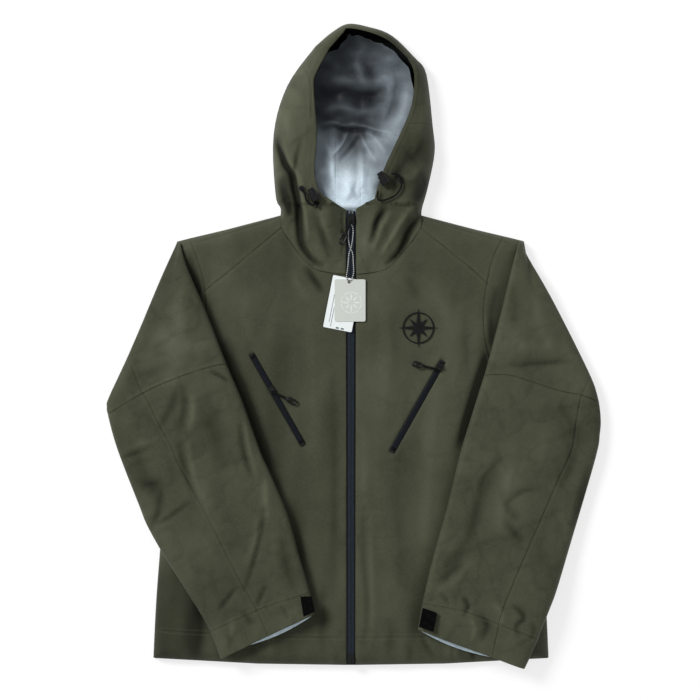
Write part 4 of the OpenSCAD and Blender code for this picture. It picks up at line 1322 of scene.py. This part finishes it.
LINING_FOLDS = [
    ([(-50, 352), (-28, 356), (-12, 351), (8, 352), (40, 343), (70, 334)], 3.5, 3.6),
    ([(-50, 344), (-28, 349), (-4, 343), (24, 344), (60, 330)], 3.5, -3.0),
    ([(-52, 372), (-20, 380), (20, 372), (56, 380)], 8, 3.5),
    ([(-50, 396), (-16, 404), (24, 398), (60, 410)], 8, -3.0),
    ([(-44, 420), (-10, 424), (30, 418), (70, 432)], 9, 3.0),
    ([(-28, 303), (-12, 324), (-4, 344)], 3.5, 4.2),
    ([(-20, 292), (0, 316), (16, 338)], 3.5, -3.4),
    ([(40, 290), (26, 316), (14, 340)], 3.5, 3.4),
    ([(56, 306), (42, 326), (24, 342)], 4, 2.8),
    ([(-44, 330), (-30, 300), (-30, 262)], 4, 2.2),
    ([(16, 330), (17, 280), (20, 240)], 5, 2.6),
    ([(-24, 300), (-27, 270), (-24, 236)], 4, 1.8),
    ([(36, 300), (28, 262), (30, 240)], 5, -2.6),
    ([(-8, 262), (-2, 246), (-10, 232)], 5, 3.0),
    ([(10, 262), (6, 246), (12, 232)], 4, -3.0),
    ([(88, 420), (84, 380), (66, 340)], 7, 3.5),
    ([(74, 430), (70, 390), (54, 352)], 6, -3.0),
    ([(10, 470), (14, 440), (30, 410)], 8, 2.5),
]
ARCH = [(-50, 338), (-13, 351), (11, 351), (38, 342), (72, 334)]
TAPE_A = [(-24, 326), (-24, 280), (-25, 226)]
TAPE_B = [(16, 330), (16, 280), (15, 226)]


FACE_RING = as_points(FACE_LINE) + [(22, 225), (8, 217), (-8, 216), (-24, 225)]


def lining_height(x, y):
    """The inside of the hood's back: deep at the crown, rising to the neck and the sides."""
    z = 13 + 17 * smooth01((330 - y) / 90)
    edge = near(x, y, FACE_LINE)[0]
    z += 18 * np.exp(-(edge / 14) ** 1.5) * smooth01((y - 236) / 60)
    z += 2.6 * noise(x / 26, y / 24, 81) + 1.5 * noise(x / 12, y / 11, 82)
    z += 1.15 * fold_height(x, y, LINING_FOLDS)
    top = near(x, y, catmull(FACE_TOP, 5))[0]
    z += 8 * np.exp(-top / 22)
    z -= 11 * smooth01((221 - y) / 9)
    z = np.minimum(z, 41)
    under = np.minimum(z, hood_height(x, y) - 3.2)
    return np.where(inside(x, y, FACE_RING), z, under)


def lining_tone(x, y):
    """Painted light and shade: light near the neck, painted shade in the depth of the hood and beside the
    face edge by the neck, a painted highlight on the side facing the key light, painted shade in the
    lining's folds.
    """
    across = np.abs(x)
    depth = 0.88 * smooth01((y - 240) / 110) - 0.08 * smooth01((y - 400) / 70)
    flanks = 0.30 * smooth01((across - 12) / 20) * np.exp(-((y - 330) / 24) ** 2)
    under_edge = 0.50 * smooth01((across - 18) / 26) * smooth01((y - 216) / 40)
    lit = 0.46 * smooth01((x - 24) / 52) * smooth01((y - 310) / 50) * (1 - 0.5 * smooth01((y - 420) / 50))
    mean = np.maximum(depth - flanks, under_edge) - lit + 0.6 * fold_shade(x, y, LINING_FOLDS, 14.0)
    mean += 0.14 * smooth01((x - 52) / 24) * smooth01((y - 300) / 40)
    mean += 0.05 * noise(x / 16 + y / 60, y / 12, 84)
    return 1 - (1 - np.clip(mean, 0, 1)) ** 2


lining_right = push_out(catmull(FACE_RIGHT, 5), 7)
lining_left = catmull(FACE_LEFT, 5)
shift = np.linspace(0, 1, len(lining_left))
for k, way in enumerate(7 - 13 * smooth01((0.30 - shift) / 0.16)):
    lining_left[k] = push_out(catmull(FACE_LEFT, 5), way)[k]
ragged = catmull(FACE_TOP, 9)[3:-3]
steps = np.arange(len(ragged))
wave = 8.5 + 2.2 * noise(steps * 0.55, steps * 0.0, 91)
t = np.gradient(ragged, axis=0)
t /= np.linalg.norm(t, axis=1)[:, None]
ragged = ragged + np.stack([t[:, 1], -t[:, 0]], -1) * wave[:, None]
lining_ring = as_points(lining_right[:-2]) + as_points(ragged) \
    + as_points(lining_left[3:]) + [(52, 224), (44, 206), (0, 201), (-44, 206), (-52, 224)]
lining = panel("hood_lining_cloth", lining_ring, lining_height, [LINING], seams=[ARCH, TAPE_A, TAPE_B],
               tone=lining_tone, step=2.6, strong=[0.5, 0.35, 0.35],
               rows=[LINING_FOLDS[k][0] for k in (0, 5, 7)])
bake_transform(lining)
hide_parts("hood_lining", "hood_seam_tapes", "collar_lining", "hood_drawcord")

# ---- zips ---------------------------------------------------------------------------


def flat_at(level):
    return lambda x, y: np.full(len(x), level)


main_zip = strip("main_zip_film", [(0, -508), (0, 214)], ZIP_HALF + 0.5, flat_at(23.6), [MAIN_FILM],
                 columns=11, crown=0.6, thick=0.6)
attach(main_zip, "body")
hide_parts("main_tape_right", "main_tape_left", "main_chain_right", "main_chain_left")

for side in ("right", "left"):
    (x0, y0), (x1, y1) = along_turn(POCKET_START[side], POCKET_TURN[side], POCKET_LENGTH)
    film = strip(f"pocket_zip_{side}_film", [(x0, y0), (x1, y1)], 4.7,
                 flat_at(26.2), [POCKET_FILM], columns=11, crown=0.6, thick=0.6)
    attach(film, "body")
    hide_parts(f"pocket_tape_{side}", f"pocket_chain_{side}")

# ---- pulls ----------------------------------------------------------------------------

def make_pull(name, node, pivot, turn, bend, length, half):
    """A zip pull: wire link on the slider's bar, a doubled braid, a ferrule and a soft ring grip."""
    a, b = math.radians(turn), math.radians(turn + bend)
    first = np.array([math.cos(a), math.sin(a), 0])
    way = np.array([math.cos(b), math.sin(b), 0])
    side = np.array([-way[1], way[0], 0])
    up = np.array([0, 0, 1.0])
    pivot = np.array([pivot[0], pivot[1], 32.2])
    knee = pivot + first * 5
    turns = np.linspace(0, 2 * math.pi, 20, endpoint=False)
    link = [pivot + first * (1.5 + 2.9 * math.cos(t)) + up * 1.5 * math.sin(t) for t in turns]
    parts = [tube(name + "_link", link, 0.55, PAINTED_METAL, 8, closed=True)]
    grip_start = length - 5 - 3.2 * half
    for k, s in enumerate((-1, 1)):
        strand = catmull([pivot + first * 3.4 + up * 0.8 * s, knee + side * 0.7 * s,
                          knee + way * 0.5 * grip_start + side * 1.0 * s + up * 0.5 * s,
                          knee + way * grip_start + side * 0.8 * s], 6)
        parts.append(tube(name + f"_strand_{k}", strand, 0.95, CORD, 10))
    ferrule = [knee + way * (grip_start + shift) for shift in (-2.4, -2.0, 1.6, 2.0)]
    parts.append(tube(name + "_ferrule", ferrule, [1.6, 2.2, 2.2, 1.6], RUBBER, 14, flat=0.75))
    ring_radius = 1.7
    span = half - ring_radius
    centre = knee + way * (length - 5 - 1.75 * half)
    ring = []
    for t in np.linspace(0, 2 * math.pi, 40, endpoint=False):
        across, along = span * math.sin(t), span * math.cos(t)
        along += 0.75 * half * math.copysign(min(1, abs(math.cos(t)) * 3), math.cos(t))
        ring.append(centre + way * along + side * across)
    parts.append(tube(name + "_grip", ring, ring_radius, RUBBER, 12, closed=True, flat=0.95))
    pull = join_parts(name, parts)
    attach(pull, node)
    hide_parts(node)
    return pull


make_pull("main_pull_visual", "main_pull", (0, 200), -90, -27, 44, 6)
make_pull("pocket_pull_right_visual", "pocket_pull_right", (-126, -70), POCKET_TURN["right"], 35, 46, 5)
make_pull("pocket_pull_left_visual", "pocket_pull_left", (141, -34), POCKET_TURN["left"], -74, 48, 5)

# ---- plain prints on the tags -----------------------------------------------------------


def flat_shapes(name, shapes, z, material, body):
    """Thin printed shapes on a card: closed outlines, mm."""
    co, faces = [], []
    for outline in shapes:
        faces.append(tuple(range(len(co), len(co) + len(outline))))
        co += [(x, y, z) for x, y in outline]
    obj = to_object(name, co, faces, [material], 0.08, smooth=False)
    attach(obj, body)
    return obj


def polar(centre, radius, turn):
    a = math.radians(turn)
    return (centre[0] + radius * math.sin(a), centre[1] + radius * math.cos(a))


MOTIF = (0.5, 68)
petals = [[polar(MOTIF, 2.4, t), polar(MOTIF, 8.0, t - 13), polar(MOTIF, 14.6 if t % 90 else 19, t),
           polar(MOTIF, 8.0, t + 13)] for t in range(0, 360, 45)]
arcs = [[polar(MOTIF, 15.6, t + k) for k in range(0, 37, 6)]
        + [polar(MOTIF, 17.0, t + k) for k in range(36, -1, -6)] for t in range(4, 360, 45)]
flat_shapes("tag_front_print", petals + arcs, 30.32,
            card_material("print_pale", srgb(232, 236, 230)), "tag_front")
BACK_TURN = math.radians(-11)
BACK_CENTRE = (-3 + 38 * math.sin(BACK_TURN), 101 - 38 * math.cos(BACK_TURN))


def on_back(across, down):
    """A point of the back tag from its centre, mm to its right and down its length."""
    return (BACK_CENTRE[0] + across * math.cos(BACK_TURN) + down * math.sin(BACK_TURN),
            BACK_CENTRE[1] + across * math.sin(BACK_TURN) - down * math.cos(BACK_TURN))


bars = []
for across, start, end, width in ((-19.4, -14, 30, 0.7), (-16.0, 6, 37, 0.7),
                                  (-7.0, 36.2, 38.6, 5.0), (1.0, 36.2, 38.6, 5.0)):
    bars.append([on_back(across, start), on_back(across + width, start), on_back(across + width, end),
                 on_back(across, end)])
flat_shapes("tag_back_print", bars, 29.32, card_material("print_dark", srgb(96, 108, 110)), "tag_back")

# ---- carried-over CAD nodes -----------------------------------------------------------

FINISH = {
    "main_slider": PAINTED_METAL, "main_zip_box": PAINTED_METAL,
    "main_top_stops": BARE_METAL, "pocket_zip_stops": BLACK_PLASTIC,
    "pocket_slider_right": PAINTED_METAL, "pocket_slider_left": PAINTED_METAL,
    "chest_emblem": THREAD,
    "cuff_tab_right": HOOK_PATCH, "cuff_tab_left": HOOK_PATCH,
    "cuff_base_right": HOOK_PATCH, "cuff_base_left": HOOK_PATCH,
    "hood_eyelets": DARK_METAL, "cord_lock_right": BLACK_PLASTIC, "cord_lock_left": BLACK_PLASTIC,
    "lock_button_right": RUBBER, "lock_button_left": RUBBER, "lock_springs": BARE_METAL,
    "tag_front": CARD_FRONT, "tag_back": CARD_BACK,
}
BEVELLED = {"main_slider": 0.7, "main_zip_box": 0.5, "pocket_slider_right": 0.5,
            "pocket_slider_left": 0.5, "cord_lock_right": 1.5, "cord_lock_left": 1.5,
            "lock_button_right": 0.8, "lock_button_left": 0.8, "cuff_tab_right": 0.5, "cuff_tab_left": 0.5,
            "chest_emblem": 0.3, "hood_eyelets": 0.3, "pocket_zip_stops": 0.3}
for name, material in FINISH.items():
    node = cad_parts[name]
    node.data.materials.clear()
    node.data.materials.append(material)
    if name in BEVELLED:
        bevel = node.modifiers.new("edge", "BEVEL")
        bevel.width = BEVELLED[name] * MM
        bevel.segments = 3
        bevel.limit_method = "ANGLE"
        bevel.angle_limit = math.radians(38)

# ---- floor, light -----------------------------------------------------------------------

floor_material = Nodes("floor", 0.9)
floor_at = floor_material.object_coords()
floor_material.colour(floor_material.mix(floor_material.noise(floor_at, 4.0), (0.36, 0.36, 0.36, 1),
                                         (0.38, 0.38, 0.38, 1)))
floor_material.bsdf.inputs["Specular IOR Level"].default_value = 0.1
floor_material.bsdf.inputs["Emission Color"].default_value = (1, 1, 1, 1)
floor_material.bsdf.inputs["Emission Strength"].default_value = 0.70
bpy.ops.mesh.primitive_grid_add(x_subdivisions=4, y_subdivisions=4, size=14)
floor = bpy.context.object
floor.name = "floor"
floor.data.materials.append(floor_material.material)

world = bpy.data.worlds.new("world")
SCENE.world = world
world.use_nodes = True
world.node_tree.nodes["Background"].inputs[0].default_value = (1.0, 1.0, 1.0, 1)
world.node_tree.nodes["Background"].inputs[1].default_value = 0.36


def area_light(name, place, target, size, power):
    data = bpy.data.lights.new(name, "AREA")
    data.shape = "DISK"
    data.size = size
    data.energy = power
    obj = bpy.data.objects.new(name, data)
    obj.location = place
    obj.rotation_mode = "QUATERNION"
    obj.rotation_quaternion = (Vector(target) - Vector(place)).to_track_quat("-Z", "Y")
    COLLECTION.objects.link(obj)
    return obj


area_light("key", (-3.0, 2.1, 3.6), (0, 0, 0), 1.7, 190)
area_light("fill", (2.2, -1.6, 3.0), (0, 0, 0), 2.6, 16)

SCENE.view_settings.view_transform = "Standard"
SCENE.view_settings.look = "None"
